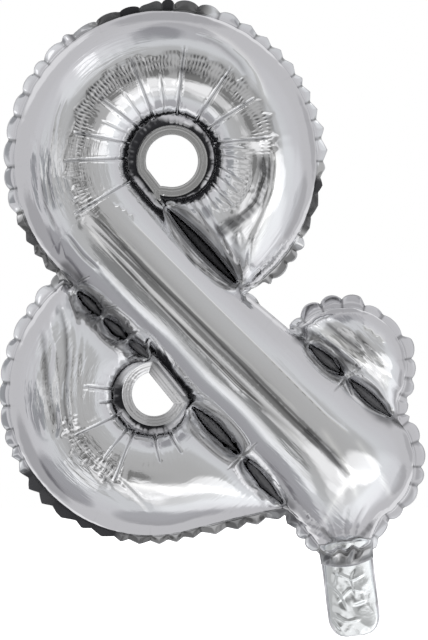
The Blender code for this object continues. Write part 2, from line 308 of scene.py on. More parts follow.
@dataclass
class WeldPlan:
    """The weld lines that the films are sealed along, as the solids have them."""

    step: float = 1.15 * MM
    outline: Array = field(init=False)
    upper_eye: Array = field(init=False)
    lower_eye: Array = field(init=False)
    webs: dict = field(init=False)

    # corners between one arc and the next, X and Z in millimetres
    left_notch = (-90.6, 21.8)
    bowl_tail = (40.5, -121.2, 47.0, -121.2, 51.2, -125.0)
    right_notch = (118.1, -64.0)
    arm_to_bowl = (57.9, -11.5, 50.2, -7.7, 25.9, 12.8, 18.9, 18.6)
    upper_eye_tip, lower_eye_tip = (-33.0, 74.2), (-17.6, -53.1)
    neck_lap = 0.3 * MM
    # how much closer the points lie round the eyes and the lenses
    closer = 0.85
    # name, start, end and half width in millimetres of each lens between the strokes
    lenses = (
        ("upper_right_web", (-29.1, 70.4), (14.4, 23.7), 1.3),
        ("left_web_a", (-85.4, 16.6), (-72.6, 3.8), 1.2),
        ("left_web_b", (-68.2, -0.6), (-56.6, -10.9), 1.2),
        ("left_web_c", (-52.8, -14.1), (-41.9, -23.7), 1.2),
        ("lower_web_a", (-12.5, -56.3), (15.0, -83.8), 1.5),
        ("lower_web_b", (20.8, -90.2), (43.8, -117.1), 1.5),
        ("arm_web_a", (62.4, -17.3), (81.6, -33.9), 1.5),
        ("arm_web_b", (87.4, -39.0), (113.0, -61.4), 1.5),
    )

    def __post_init__(self) -> None:
        """Lay out every weld line."""
        half_neck = NECK_WIDTH / 2
        self.outline = self.closed(
            self.arc(UPPER_BOWL, UPPER_RADIUS, -56, 228), self.corners(self.left_notch),
            self.arc(LOWER_BOWL, LOWER_RADIUS, 127, 287), self.corners(self.bowl_tail),
            [neck_place(-half_neck, -self.neck_lap), neck_place(half_neck, -self.neck_lap)],
            self.arc(FOOT, FOOT_RADIUS, -62, 30), self.corners(self.right_notch),
            self.arc(ARM, ARM_RADIUS, -32, 138), self.corners(self.arm_to_bowl),
        )
        upper = self.arc(UPPER_EYE, UPPER_EYE_RADIUS, -110, 200)
        self.upper_eye = self.closed(upper, self.corners(self.upper_eye_tip), share=self.closer)
        lower = self.arc(LOWER_EYE, LOWER_EYE_RADIUS, 92, 330)
        self.lower_eye = self.closed(lower, self.corners(self.lower_eye_tip), share=self.closer)
        self.webs = {
            name: lens_path(np.array(start) * MM, np.array(end) * MM, half * MM, self.step * self.closer)
            for name, start, end, half in self.lenses
        }

    def arc(self, centre: tuple, radius: float, start: float, end: float) -> list:
        """Points along one arc of a weld line.

        Args:
            centre: X and Z of the centre.
            radius: radius in metres.
            start: first angle in degrees.
            end: last angle in degrees.

        Returns:
            X and Z pairs, both ends included.
        """
        count = max(2, round(abs(math.radians(end - start)) * radius / self.step))
        angles = np.radians(np.linspace(start, end, count + 1))
        return [(centre[0] + radius * math.cos(a), centre[1] + radius * math.sin(a)) for a in angles]

    @staticmethod
    def corners(millimetres: tuple) -> list:
        """Corners in metres."""
        return [(x * MM, z * MM) for x, z in paired(millimetres)]

    def closed(self, *stretches: list, share: float = 1.0) -> Array:
        """A closed weld line from its stretches, at a share of the usual step."""
        return even_path(sum(stretches, []), self.step * share)


# The inflated film


class Profile(Enum):
    """How a crease rises and falls across its line."""

    GROOVE = "a tuck: sunk line with raised lips"
    RIDGE = "a sharp raised line"
    FOLD = "one side up, the other down"
    # a glint is a painted highlight: it mixes the film's colour towards white and has no height
    GLINT = "a bright rubbed line with no height"


@dataclass(frozen=True)
class Crease:
    """A line pressed into the film, laid out in the photo's pixels."""

    line: tuple
    width: float
    height: float
    profile: Profile = Profile.GROOVE
    taper: float = 0.25
    # painted shade on the crease's flanks, from 0 to 1; below 0 it is a painted highlight along the line
    # instead
    ink: float = 0.0

    sample = 1.0 * MM
    guide_sample = 0.8 * MM
    guide_offsets = (0.0, -1.0, 1.0, -2.0, 2.0)
    rounding_passes = 6
    # how far past either end a place still counts, and the widths away at which nothing moves
    end_slack = 0.6 * MM
    far_widths = 9.0
    # the raised lips of a groove, in shares of its depth and in widths off its line
    lip, lip_at = 0.4, 2.0
    fold_reach = 2.5
    # a crease wider than this has painted shade all over its flanks, a finer one a narrow line of painted
    # shade
    broad_width, fine_spread = 1.1 * MM, 0.55

    def samples(self, step: float = sample) -> tuple[Array, Array, Array]:
        """Even points along the line.

        Args:
            step: about how far apart they lie.

        Returns:
            The points, their unit normals and their share along the line.
        """
        corners = np.array([at(*p) for p in self.line])
        length = measured(corners)[-1]
        shares = np.linspace(0, 1, max(4, round(length / step)) + 1)
        points = placed(corners, shares * length)
        if len(self.line) > 2:
            for _ in range(self.rounding_passes):
                points[1:-1] = (points[:-2] + 2 * points[1:-1] + points[2:]) / 4
        run = np.gradient(points, axis=0)
        run /= np.linalg.norm(run, axis=1, keepdims=True)
        return points, np.stack([-run[:, 1], run[:, 0]], axis=1), shares

    def guides(self) -> Array:
        """Places where the mesh needs a vertex: along the line and beside it."""
        points, normals, _ = self.samples(self.guide_sample)
        return np.concatenate([points + normals * self.width * offset for offset in self.guide_offsets])

    def shape(self, across: Array) -> Array:
        """The crease's section.

        Args:
            across: how far off the line, in widths.

        Returns:
            The move there, in shares of the crease's height.
        """
        if self.profile is Profile.GROOVE:
            return -np.exp(-across ** 2) + self.lip * np.exp(-((abs(across) - self.lip_at) ** 2))
        if self.profile is Profile.RIDGE:
            return np.exp(-across ** 2)
        return np.tanh(across) * np.exp(-abs(across) / self.fold_reach)

    def press(self, places: Array) -> tuple[Array, Array]:
        """How far the crease moves each place along the film's normal, and how dark the painted shade on its
        flanks is.

        Args:
            places: X and Z of the places.

        Returns:
            The move in metres, outward positive, and the painted shade up to 1, or minus the painted
            highlight.
        """
        points, normals, shares = self.samples()
        moved = np.zeros(len(places))
        dark = np.zeros(len(places))
        margin = 6 * self.width
        low, high = points.min(axis=0) - margin, points.max(axis=0) + margin
        near = np.flatnonzero(((places > low) & (places < high)).all(axis=1))
        if not len(near):
            return moved, dark
        away = places[near][:, None, :] - points[None, :, :]
        index = np.linalg.norm(away, axis=2).argmin(axis=1)
        gap = away[np.arange(len(near)), index]
        along = gap[:, 0] * normals[index, 1] - gap[:, 1] * normals[index, 0]
        side = (gap * normals[index]).sum(axis=1)
        beyond = ((index == 0) | (index == len(points) - 1)) & (abs(along) > self.end_slack)
        across = np.where(beyond, self.far_widths, side / self.width)
        share = np.clip(shares[index] + along / (len(points) * self.sample), 0, 1)
        fade = ease(0, self.taper, share) * ease(0, self.taper, 1 - share)
        # a glint only paints a highlight into the colour and moves nothing
        if self.profile is Profile.GLINT:
            dark[near] = np.exp(-(across ** 2)) * fade * self.ink
            return moved, dark
        moved[near] = self.shape(across) * fade * self.height
        spread = 1.0 if self.width > self.broad_width else self.fine_spread
        dark[near] = np.exp(-((np.maximum(abs(across) - (1 - spread), 0) / spread) ** 2)) * fade * self.ink
        return moved, dark


def pressed(*rows: tuple, width: float, height: float, profile: Profile = Profile.GROOVE,
            taper: float = 0.25, ink: float = 0.0) -> list:
    """Creases of one size in millimetres, from rows of photo pixels: x, y, x, y and so on."""
    return [Crease(paired(row), width * MM, height * MM, profile, taper, ink) for row in rows]


def distance_to(line: tuple, places: Array) -> Array:
    """How far each place lies from a line.

    Args:
        line: the line's corners in photo pixels.
        places: X and Z of the places.

    Returns:
        The distances in metres.
    """
    corners = np.array([at(*p) for p in line])
    best = np.full(len(places), 1.0)
    for a, b in zip(corners, corners[1:]):
        run = b - a
        share = np.clip(((places - a) @ run) / (run @ run), 0, 1)
        best = np.minimum(best, np.linalg.norm(places - a - share[:, None] * run, axis=1))
    return best


@dataclass
class RimPattern:
    """Where the lobes of the outer rim fall, how broad they are, how they lean, and how dark their painted
    shade is.
    """

    outline: Array
    pitch: float = 12.5 * MM
    phase: Array = field(init=False)
    lean: Array = field(init=False)
    broad: Array = field(init=False)
    dark: Array = field(init=False)
    comb: Array = field(init=False)
    sharp: Array = field(init=False)

    # middle of each stretch in photo pixels, its half length, and the value there
    leans = (
        (150, 12, 62, 0.1), (42, 245, 44, 0.1), (306, 202, 40, 0.1), (100, 505, 75, 0.1),
        (190, 535, 85, 0.1), (272, 262, 30, 0.15), (375, 340, 70, 1.3), (405, 450, 80, 1.3),
    )
    breadths = (
        (268, 312, 30, 0.05), (255, 290, 14, 0.3), (360, 350, 44, 1.3), (345, 305, 40, 1.25),
        (58, 290, 24, 1.15), (20, 360, 60, 0.95), (110, 12, 44, 0.66), (400, 440, 60, 1.15),
        (290, 70, 60, 0.85), (140, 530, 70, 0.78), (386, 318, 26, 0.7), (42, 250, 36, 0.8),
        (308, 202, 36, 0.65), (44, 496, 22, 1.15),
    )
    # the darks are painted shade on the lobes
    darks = (
        (84, 30, 16, 0.8), (150, 8, 56, 1.15), (42, 250, 40, 1.0), (314, 205, 28, 1.0), (272, 262, 30, 0.7),
        (48, 496, 34, 1.6), (100, 516, 40, 1.4), (190, 535, 66, 0.8), (270, 520, 30, 0.8),
    )
    sharps = (
        (298, 90, 90, 1.0), (310, 196, 34, 0.8), (42, 245, 44, 0.9), (42, 478, 40, 0.9), (100, 512, 50, 1.0),
        (190, 535, 80, 0.9), (270, 520, 30, 0.7),
    )
    combs = ((268, 268, 34, 1.0), (372, 515, 22, 0.8), (300, 510, 24, 0.5), (60, 292, 14, 0.5))
    usual_lean, usual_breadth = 0.8, 1.0
    wander, turn_a_lobe = 0.45 * MM, 1.7
    # the least and the most that a lobe is long or dark with painted shade, in shares of the usual
    lobe_lengths, lobe_darks = (0.62, 1.38), (0.55, 1.0)
    # the most painted shade, and the painted shade in each valley between lobes
    darkest, valley_dark = 0.97, 0.6
    # at either end of a table's stretch the value changes over this share of its half length
    change = 0.15

    def __post_init__(self) -> None:
        """Spread uneven lobes along the rim."""
        count = len(self.outline)
        length = np.linalg.norm(self.outline - np.roll(self.outline, 1, axis=0), axis=1).sum()
        lobes = round(length / self.pitch)
        widths = np.random.default_rng(SEED + 3).uniform(*self.lobe_lengths, lobes)
        edges = np.concatenate([[0], np.cumsum(widths)]) / widths.sum()
        self.phase = np.interp(np.arange(count) / count, edges, np.arange(lobes + 1))
        self.lean = self.along(self.leans, self.usual_lean)
        self.broad = self.along(self.breadths, self.usual_breadth)
        self.comb = self.along(self.combs)
        self.sharp = self.along(self.sharps)
        spread = np.random.default_rng(SEED + 4).uniform(*self.lobe_darks, lobes)
        mine = np.clip(self.phase.astype(int), 0, lobes - 1)
        valleys = self.valley_dark * (1 - ease(0.05, 0.3, self.lobe(self.phase)))
        self.dark = np.maximum(np.clip(self.along(self.darks) * spread[mine], 0, self.darkest), valleys)

    def along(self, table: tuple, usual: float = 0.0) -> Array:
        """A value along the rim that changes near the places in a table.

        Args:
            table: rows of column, row and half length in photo pixels, and the value there.
            usual: the value everywhere else.

        Returns:
            The value at each point of the outline.
        """
        value = np.full(len(self.outline), usual)
        for column, row, half, there in table:
            away = np.linalg.norm(self.outline - np.array(at(column, row)), axis=1)
            low, high = half * (1 - self.change) * PIXEL, half * (1 + self.change) * PIXEL
            share = 1 - ease(low, high, away)
            value = value * (1 - share) + there * share
        return value

    @staticmethod
    def lobe(phase: Array) -> Array:
        """0 in each valley between lobes, 1 at the middle of a lobe."""
        return abs(np.sin(np.pi * phase))

    @staticmethod
    def wave(phase: Array) -> Array:
        """How far the weld wanders to the front or back at each lobe."""
        return RimPattern.wander * np.sin(np.pi * phase) * np.sin(RimPattern.turn_a_lobe * np.floor(phase))


@dataclass
class FilmMesh:
    """The mesh between the weld lines: rings along each weld, a lattice between, blown up by the film."""

    plan: WeldPlan
    step: float
    guides: Array
    fine: float = 0.75 * MM
    rings: int = 15
    reach: float = 5.0 * MM
    tube_radius: float = 36.5 * MM
    points: Array = field(init=False)
    faces: Array = field(init=False)
    depth: Array = field(init=False)
    gap: Array = field(init=False)
    near: Array = field(init=False)
    run: Array = field(init=False)

    # how much of the ball that fits in a corner the rings may take
    ball_share = 0.62
    tolerance = 1e-12
    # one guide a cell, the lattice's unevenness, and how far it keeps off a guide, in steps
    guide_cell, jitter, spacing = 0.30 * MM, 0.04, 0.62
    # centre, least and greatest radius of the bands of short gathers, in photo pixels
    dense_bands = (((172, 161), 76, 110), ((154, 394), 76, 100))

    def __post_init__(self) -> None:
        """Mesh the plane, then solve for the depth."""
        paths = [self.plan.outline, self.plan.upper_eye, self.plan.lower_eye, *self.plan.webs.values()]
        starts = self.lay_rings(paths)
        last = [s + np.arange(self.rings * len(p), (self.rings + 1) * len(p)) for s, p in zip(starts, paths)]
        ring_count = len(self.points)
        edge_paths = [self.points[index] for index in last]
        edge_count = sum(map(len, edge_paths))
        flat, faces = triangulate(self.loose(edge_paths), edge_paths)
        kept = self.between(flat[faces].mean(axis=1), edge_paths)
        index = np.concatenate([*last, np.arange(len(flat) - edge_count) + ring_count])
        self.points = np.concatenate([self.points, flat[edge_count:]])
        inner = index[faces[kept]]
        strips = [self.strip(s, len(p), range(self.rings + 1)) for s, p in zip(starts, paths)]
        self.faces = turned_up(self.points, np.concatenate([inner, *strips]))
        self.blow(starts, paths, inner)
        self.place(paths[0])

    def lay_rings(self, paths: list) -> list:
        """Lay rings of points along each weld, closer together where the film rises steeply.

        Args:
            paths: the welds, the outline first.

        Returns:
            The number of each path's first point.
        """
        normals = [outward(path, 3) * (-1 if i == 0 else 1) for i, path in enumerate(paths)]
        turns = np.arange(self.rings + 1) / self.rings * math.acos(1 - self.reach / self.tube_radius)
        offsets = self.tube_radius * (1 - np.cos(turns))
        starts, rings, gaps = [], [], []
        first = 0
        for path, normal, reach in zip(paths, normals, self.reaches(paths, normals)):
            starts.append(first)
            share = offsets[:, None] / self.reach * reach[None, :]
            rings.append((path[None] + normal[None] * share[:, :, None]).reshape(-1, 2))
            gaps.append(share.reshape(-1))
            first += len(path) * (self.rings + 1)
        self.points, self.gap = np.concatenate(rings), np.concatenate(gaps)
        return starts

    def reaches(self, paths: list, normals: list) -> list:
        """How deep the rings of each path may go: less than the ball that fits there.

        Args:
            paths: the welds.
            normals: their normals into the film.

        Returns:
            The reach at each point of each path.
        """
        every = np.concatenate(paths)
        found = []
        for path, normal in zip(paths, normals):
            away = every[None] - path[:, None]
            lean = np.einsum("ijk,ik->ij", away, normal)
            square = (away ** 2).sum(axis=2)
            ball = np.where(lean > 0.05 * MM, square / np.maximum(2 * lean, 1e-9), 1.0)
            limit = np.minimum(self.reach, self.ball_share * ball.min(axis=1))
            for _ in range(4):
                neighbours = np.minimum(np.roll(limit, 1), np.roll(limit, -1))
                limit = np.minimum(limit, neighbours + 0.5 * MM)
            for _ in range(5):
                limit = (np.roll(limit, 1) + limit + np.roll(limit, -1)) / 3
            found.append(limit)
        return found

    @staticmethod
    def between(points: Array, edge_paths: list) -> Array:
        """Which points lie inside the first path and outside every other.

        Args:
            points: X and Z of the points.
            edge_paths: closed paths, the outermost first.

        Returns:
            True for each such point.
        """
        kept = inside(points, edge_paths[0])
        for path in edge_paths[1:]:
            kept &= ~inside(points, path)
        return kept

    def spaced(self, points: Array, edge_paths: list, marks: Array, spacing: float) -> Array:
        """The points that lie on the film and keep at least the spacing from every mark."""
        points = points[self.between(points, edge_paths)]
        return points[nearest(points, marks)[1] > spacing]

    def loose(self, edge_paths: list) -> Array:
        """The free points between the last rings: crease guides and a lattice that keeps off them.

        Args:
            edge_paths: the last ring of each path, the outermost first.

        Returns:
            The points, one a row.
        """
        edge = np.concatenate(edge_paths)
        guides = self.guides
        if len(guides):
            guides = self.spaced(guides, edge_paths, edge, 0.5 * MM)
            cells = np.round(guides / self.guide_cell).astype(int)
            guides = guides[np.sort(np.unique(cells, axis=0, return_index=True)[1])]
        marks = np.concatenate([edge, guides])
        grids = [guides]
        for step, fine in ((self.fine, True), (self.step, False)):
            grid = lattice(edge.min(axis=0), edge.max(axis=0), step)
            grid = grid[self.dense(grid) == fine]
            grid += np.random.default_rng(SEED).normal(0, step * self.jitter, grid.shape)
            grids.append(self.spaced(grid, edge_paths, marks, step * self.spacing))
        return np.concatenate(grids)

    def dense(self, places: Array) -> Array:
        """Where the lattice is fine: in the bands of short gathers about the eyes.

        Args:
            places: X and Z of the places.

        Returns:
            True for each place in such a band.
        """
        along, across = diagonal(places[:, 0], places[:, 1])
        on_stroke = (abs(across + 0.5 * MM) < 33 * MM) & (along > -78 * MM)
        found = np.zeros(len(places), bool)
        for centre, low, high in self.dense_bands:
            radius = np.linalg.norm(places - np.array(at(*centre)), axis=1) / PIXEL
            found |= (radius > low) & (radius < high) & ~on_stroke
        return found

    @staticmethod
    def strip(start: int, count: int, levels: Iterable[int]) -> Array:
        """Triangles between some of the rings of one path.

        Args:
            start: the path's first point.
            count: how many points a ring has.
            levels: the rings joined, from the weld inwards.

        Returns:
            The triangles.
        """
        levels = list(levels)
        here = np.arange(count)
        after = (here + 1) % count
        found = []
        for low, high in zip(levels, levels[1:]):
            a, b = start + low * count + here, start + low * count + after
            c, d = start + high * count + after, start + high * count + here
            found += [np.stack([a, b, c], 1), np.stack([a, c, d], 1)]
        return np.concatenate(found)

    def blow(self, starts: list, paths: list, inner: Array) -> None:
        """Solve for the film's depth: its square follows a membrane under even pressure.

        Args:
            starts: first ring point of each path.
            paths: the weld paths.
            inner: the triangles between the last rings.
        """
        coarse = [0, self.rings // 3, 2 * self.rings // 3, self.rings]
        strips = [self.strip(s, len(p), coarse) for s, p in zip(starts, paths)]
        faces = turned_up(self.points, np.concatenate([inner, *strips]))
        held = np.zeros(len(self.points), bool)
        for start, path in zip(starts, paths):
            held[start:start + len(path)] = True
        swell = self.membrane(faces, held)
        for start, path in zip(starts, paths):
            count = len(path)
            rows = start + np.arange((self.rings + 1) * count).reshape(self.rings + 1, count)
            gap = self.gap[rows]
            known = [(swell[rows[k]] + gap[k] ** 2 / 2) / gap[k] for k in coarse[1:]]
            pull = gap[coarse[1]] / (gap[coarse[2]] - gap[coarse[1]])
            known.insert(0, known[0] + (known[0] - known[1]) * pull)
            for k in range(self.rings + 1):
                part = min(2, k * 3 // self.rings)
                low, high = gap[coarse[part]], gap[coarse[part + 1]]
                share = (gap[k] - low) / (high - low)
                slope = known[part] * (1 - share) + known[part + 1] * share
                swell[rows[k]] = slope * gap[k] - gap[k] ** 2 / 2
        self.depth = FULLNESS * np.sqrt(2 * np.maximum(swell, 0))

    def membrane(self, faces: Array, held: Array) -> Array:
        """Conjugate-gradient solution of a membrane under unit load.

        Args:
            faces: the triangles.
            held: which points stay at zero.

        Returns:
            The membrane's height at each point.
        """
        corner = self.points[faces]
        side = np.stack([corner[:, i - 1] - corner[:, i - 2] for i in range(3)], axis=1)
        area = abs(side[:, 0, 0] * side[:, 1, 1] - side[:, 0, 1] * side[:, 1, 0]) / 2
        stiff = np.einsum("fik,fjk->fij", side, side) / (4 * area)[:, None, None]
        count = len(self.points)
        load = np.bincount(faces.ravel(), np.repeat(area / 3, 3), count)
        load[held] = 0
        own = np.bincount(faces.ravel(), np.einsum("fii->fi", stiff).ravel(), count)
        scale = 1 / np.where(own > 0, own, 1)
        height = np.zeros(count)
        rest = load.copy()
        ready = scale * rest
        way = ready.copy()
        energy = rest @ ready
        goal = energy * self.tolerance
        while energy > goal:
            pushed = np.bincount(faces.ravel(), np.einsum("fij,fj->fi", stiff, way[faces]).ravel(), count)
            pushed[held] = 0
            step = energy / (way @ pushed)
            height += step * way
            rest -= step * pushed
            ready = scale * rest
            before, energy = energy, rest @ ready
            way = ready + energy / before * way
        return height

    def place(self, outline: Array) -> None:
        """Note each point's nearest place on the outer weld and how much film lies between.

        Args:
            outline: the outer weld's path.
        """
        count = len(outline)
        index, distance = nearest(self.points, outline)
        ring_total = (self.rings + 1) * count
        index[:ring_total] = np.tile(np.arange(count), self.rings + 1)
        distance[:ring_total] = self.gap[:ring_total]
        bend = np.clip(1 - distance / self.tube_radius, -1, 1)
        self.run = self.tube_radius * np.arccos(bend)
        self.near = index


@dataclass(frozen=True)
class EyeGather:
    """The gathers round one eye: tucks with pillows between them and short ripples, and the painted shade by
    its weld.

    Heights are in metres, angles in degrees, and waves are counted to a radian.
    """

    centre: tuple
    seam: float
    crest: float
    tucks: tuple
    first: float
    last: float
    waves: int
    fan: tuple
    below: bool = False

    # how far the film's patterns wander, and how high each kind of gather stands
    ragged_inside, ragged_outside, ragged_dashes = 3 * MM, 3 * MM, 2 * MM
    pillow_share, ripple_height, dash_height = 0.020, 0.16 * MM, 0.05 * MM
    ray_height, shoulder_height = 0.17 * MM, 0.55 * MM
    ripple_waves, ray_waves = 34, 88
    past_last_tuck = 25
    # the finish turns its dashes by degrees times waves over this
    degrees_a_turn = 118
    # the painted shade on the steep wall by the weld: how far its ragged lashes reach and wander, where its
    # edge lies past the seam, and how much wider it is on one side
    lash_length, lash_wander, lash_edge = 5.5 * MM, 1.3 * MM, 2.0 * MM
    wide_side = 3.0 * MM
    # how dark the painted shade on the wall and on the two arcs by the crest is, and how faint the lower
    # eye's dashes, raised and painted, are
    ring_dark, inner_arc_dark, outer_arc_dark, faint_below = 0.985, 0.62, 0.32, 0.7
    # where the long stroke's edge lies across it, and where its shade ends, in photo pixels
    stroke_edge = (-54, -47)
    # where each ring starts, is full, starts to fade and ends, in mm from the seam or the crest; the last
    # ring holds the painted dark dashes
    ripple_ring, dash_ring, ink_ring = (0, 3, 7, 15), (-9, -5, 2, 6), (-5.5, -2.5, 4.5, 8)
    # the painted dark arcs by the crest: their distance from it in mm, and how far they spread
    inner_arc_at, inner_arc_spread = -4.2, 2.2 * MM
    outer_arc_at, outer_arc_spread = 6.5, 1.5 * MM
    # degrees about the eye between which the painted dark inner arc and the lower eye's painted dark wall
    # show
    inner_arc_angles, wall_angles = (45, 65, 110, 130), (130, 175, 282, 308)
    fan_edge = 6

    @staticmethod
    def across_stroke(places: Array) -> Array:
        """How far each place lies across the long stroke, in photo pixels from its middle line."""
        offset = MIDDLE_PIXEL[0] - MIDDLE_PIXEL[1] + STROKE_OFFSET
        return (places.sum(axis=1) / PIXEL + offset) / math.sqrt(2)

    def polar(self, places: Array) -> tuple[Array, Array]:
        """Radius in metres and angle in degrees from 0 to 360 about the eye."""
        away = places - np.array(self.centre)
        return np.linalg.norm(away, axis=1), np.degrees(np.arctan2(away[:, 1], away[:, 0])) % 360

    def on_stroke(self, places: Array) -> Array:
        """1 where the long stroke covers the gathers of the lower eye."""
        return ease(*self.stroke_edge, self.across_stroke(places)) * self.below

    def window(self, angle: Array) -> Array:
        """Where the film is gathered round the eye.

        Args:
            angle: degrees about the eye.

        Returns:
            1 on the gathered side, 0 where the long stroke takes over.
        """
        turn = (angle - self.first) % 360
        span = (self.last - self.first) % 360
        return hump(-8, 4, span - 4, span + 8, np.where(turn > 340, turn - 360, turn))

    @staticmethod
    def ring(radius: Array, base: float, marks: tuple, inner: Array | float = 0.0,
             outer: Array | float = 0.0) -> Array:
        """Smooth ring about the eye.

        Args:
            radius: metres from the eye's centre.
            base: the radius that the marks are counted from.
            marks: where it starts, is full, starts to fade and ends, in millimetres.
            inner: how far its inner edge wanders, in metres.
            outer: how far its outer edge wanders.

        Returns:
            1 in the ring, 0 away from it.
        """
        low, rise, fall, high = (base + mark * MM for mark in marks)
        return hump(low + inner, rise + inner, fall + outer, high + outer, radius)

    def ragged(self, angle: Array, noise: Noise, outside: float) -> tuple[Array, Array]:
        """How far the inner and outer edges of the crest's gathers wander, in metres."""
        level = angle * 0
        return noise(angle / 4 + 40, level) * self.ragged_inside, noise(angle / 3 + 80, level) * outside

    def pillows(self, radius: Array, angle: Array) -> Array:
        """The film's swelling between one tuck and the next.

        Args:
            radius: metres from the eye's centre.
            angle: degrees about it.

        Returns:
            The move outward in metres.
        """
        turn = (angle - self.first) % 360
        marks = np.sort([(t - self.first) % 360 for t in self.tucks])
        marks = np.concatenate([[marks[0] - self.past_last_tuck], marks, [marks[-1] + self.past_last_tuck]])
        cell = np.clip(np.searchsorted(marks, turn) - 1, 0, len(marks) - 2)
        low, high = marks[cell], marks[cell + 1]
        share = np.clip((turn - low) / (high - low), 0, 1)
        pillow = 4 * share * (1 - share) * self.pillow_share * (np.radians(high - low) * self.crest)
        seam, crest = self.seam, self.crest
        return pillow * hump(seam + 4 * MM, seam + 14 * MM, crest + 3 * MM, crest + 9 * MM, radius)

    def lift(self, places: Array, noise: Noise) -> Array:
        """Pillows, ripples by the seam, short dashes along the crest, and the shoulder beyond them.

        Args:
            places: X and Z of the places.
            noise: what keeps the ripples uneven.

        Returns:
            The move outward in metres.
        """
        radius, angle = self.polar(places)
        window, turn = self.window(angle), np.radians(angle)
        wander = noise(angle / 9, radius / (30 * MM))
        inner, outer = self.ragged(angle, noise, self.ragged_outside)
        seam, crest = self.seam, self.crest
        lift = self.pillows(radius, angle) * window
        near = self.ring(radius, seam, self.ripple_ring)
        rough = 0.5 + 0.5 * noise(angle / 5 + 9, radius / (20 * MM))
        lift += self.ripple_height * (np.sin(turn * self.ripple_waves + 2.6 * wander) * rough) * near
        band = self.ring(radius, crest, self.dash_ring, inner, outer)
        patch = np.clip(0.75 + 0.6 * noise(angle / 6 + 20, radius / (9 * MM)), 0.15, 1.1)
        dash = np.sin(turn * self.waves + 2.2 * wander + 1.5 * noise(angle / 2, radius / (5 * MM)))
        lift += self.dash_height * dash * patch * band * window
        (start, end), edge = self.fan, self.fan_edge
        fan = hump(start - edge, start + edge, end - edge, end + edge, (angle + 180) % 360)
        ray = np.sin(turn * self.ray_waves + 2.0 * wander)
        ray *= 0.7 + 0.4 * noise(angle / 7, radius / (12 * MM))
        reach = hump(seam + 8 * MM, seam + 16 * MM, crest - 16 * MM, crest - 6 * MM, radius)
        lift += self.ray_height * ray * reach * fan
        step = ease(crest + 4 * MM + outer, crest + 7.5 * MM + outer, radius)
        fall = 1 - ease(crest + 7 * MM + outer, crest + 22 * MM, radius)
        lift += self.shoulder_height * step * fall * window
        return lift * (1 - self.on_stroke(places))

    def dashes(self, places: Array, noise: Noise) -> tuple[Array, Array]:
        """Where the finest gathers lie, which the finish raises and also paints as dark dashes of painted
        shade.

        Args:
            places: X and Z of the places.
            noise: what makes their band ragged.

        Returns:
            The strength from 0 to 1, and the unbroken turn about the eye, which the finish makes waves of.
        """
        radius, angle = self.polar(places)
        inner, outer = self.ragged(angle, noise, self.ragged_dashes)
        band = self.ring(radius, self.crest, self.ink_ring, inner, outer)
        patch = np.clip(0.75 + 0.8 * noise(angle / 8 + 11, radius / (9 * MM)), 0.15, 1)
        rows = 0.6 + 0.4 * np.sin(radius / (0.75 * MM) + 3 * noise(angle / 7 + 3, radius * 0))
        faint = self.faint_below if self.below else 1.0
        turn = ((angle - self.first + 40) % 360) * self.waves / self.degrees_a_turn
        return faint * band * patch * rows * self.window(angle), turn

    def darkness(self, places: Array, noise: Noise) -> Array:
        """The painted shade on the steep wall by the eye's weld, with a ragged outer edge, and on two arcs by
        the crest.

        Args:
            places: X and Z of the places.
            noise: what makes the edges ragged.

        Returns:
            The painted shade from 0 to 1.
        """
        radius, angle = self.polar(places)
        level = radius * 0
        lashes = np.clip(noise(angle / 1.3, level + 3), 0, 1) ** 2 * (0.6 + 0.4 * noise(angle / 7 + 5, level))
        ragged = self.lash_length * lashes + self.lash_wander * noise(angle / 13, level)
        wide = hump(270, 300, 360, 400, (angle + 90) % 360 + 90)
        edge = self.seam + (self.lash_edge + self.wide_side * wide) + ragged
        past = radius - self.crest
        inner_arc = np.exp(-(((past - self.inner_arc_at * MM) / self.inner_arc_spread) ** 2))
        outer_arc = np.exp(-(((past - self.outer_arc_at * MM) / self.outer_arc_spread) ** 2))
        arcs = self.inner_arc_dark * inner_arc * hump(*self.inner_arc_angles, angle)
        arcs += self.outer_arc_dark * outer_arc
        arcs *= self.window(angle) * np.clip(0.7 + 0.6 * noise(angle / 9 + 31, radius / (12 * MM)), 0, 1)
        ring = self.ring_dark * (1 - ease(edge - 1.2 * MM, edge + 2.6 * MM, radius))
        ring *= 1 - self.on_stroke(places)
        streaks = np.clip(noise(angle / 1.6 + 17, radius / (5 * MM)), 0, 1) ** 2
        ring *= 1 - 0.3 * streaks * ease(self.seam + 1 * MM, self.seam + 3 * MM, radius)
        if self.below:
            ring *= 0.3 + 0.7 * hump(*self.wall_angles, angle)
        return np.maximum(ring, arcs)


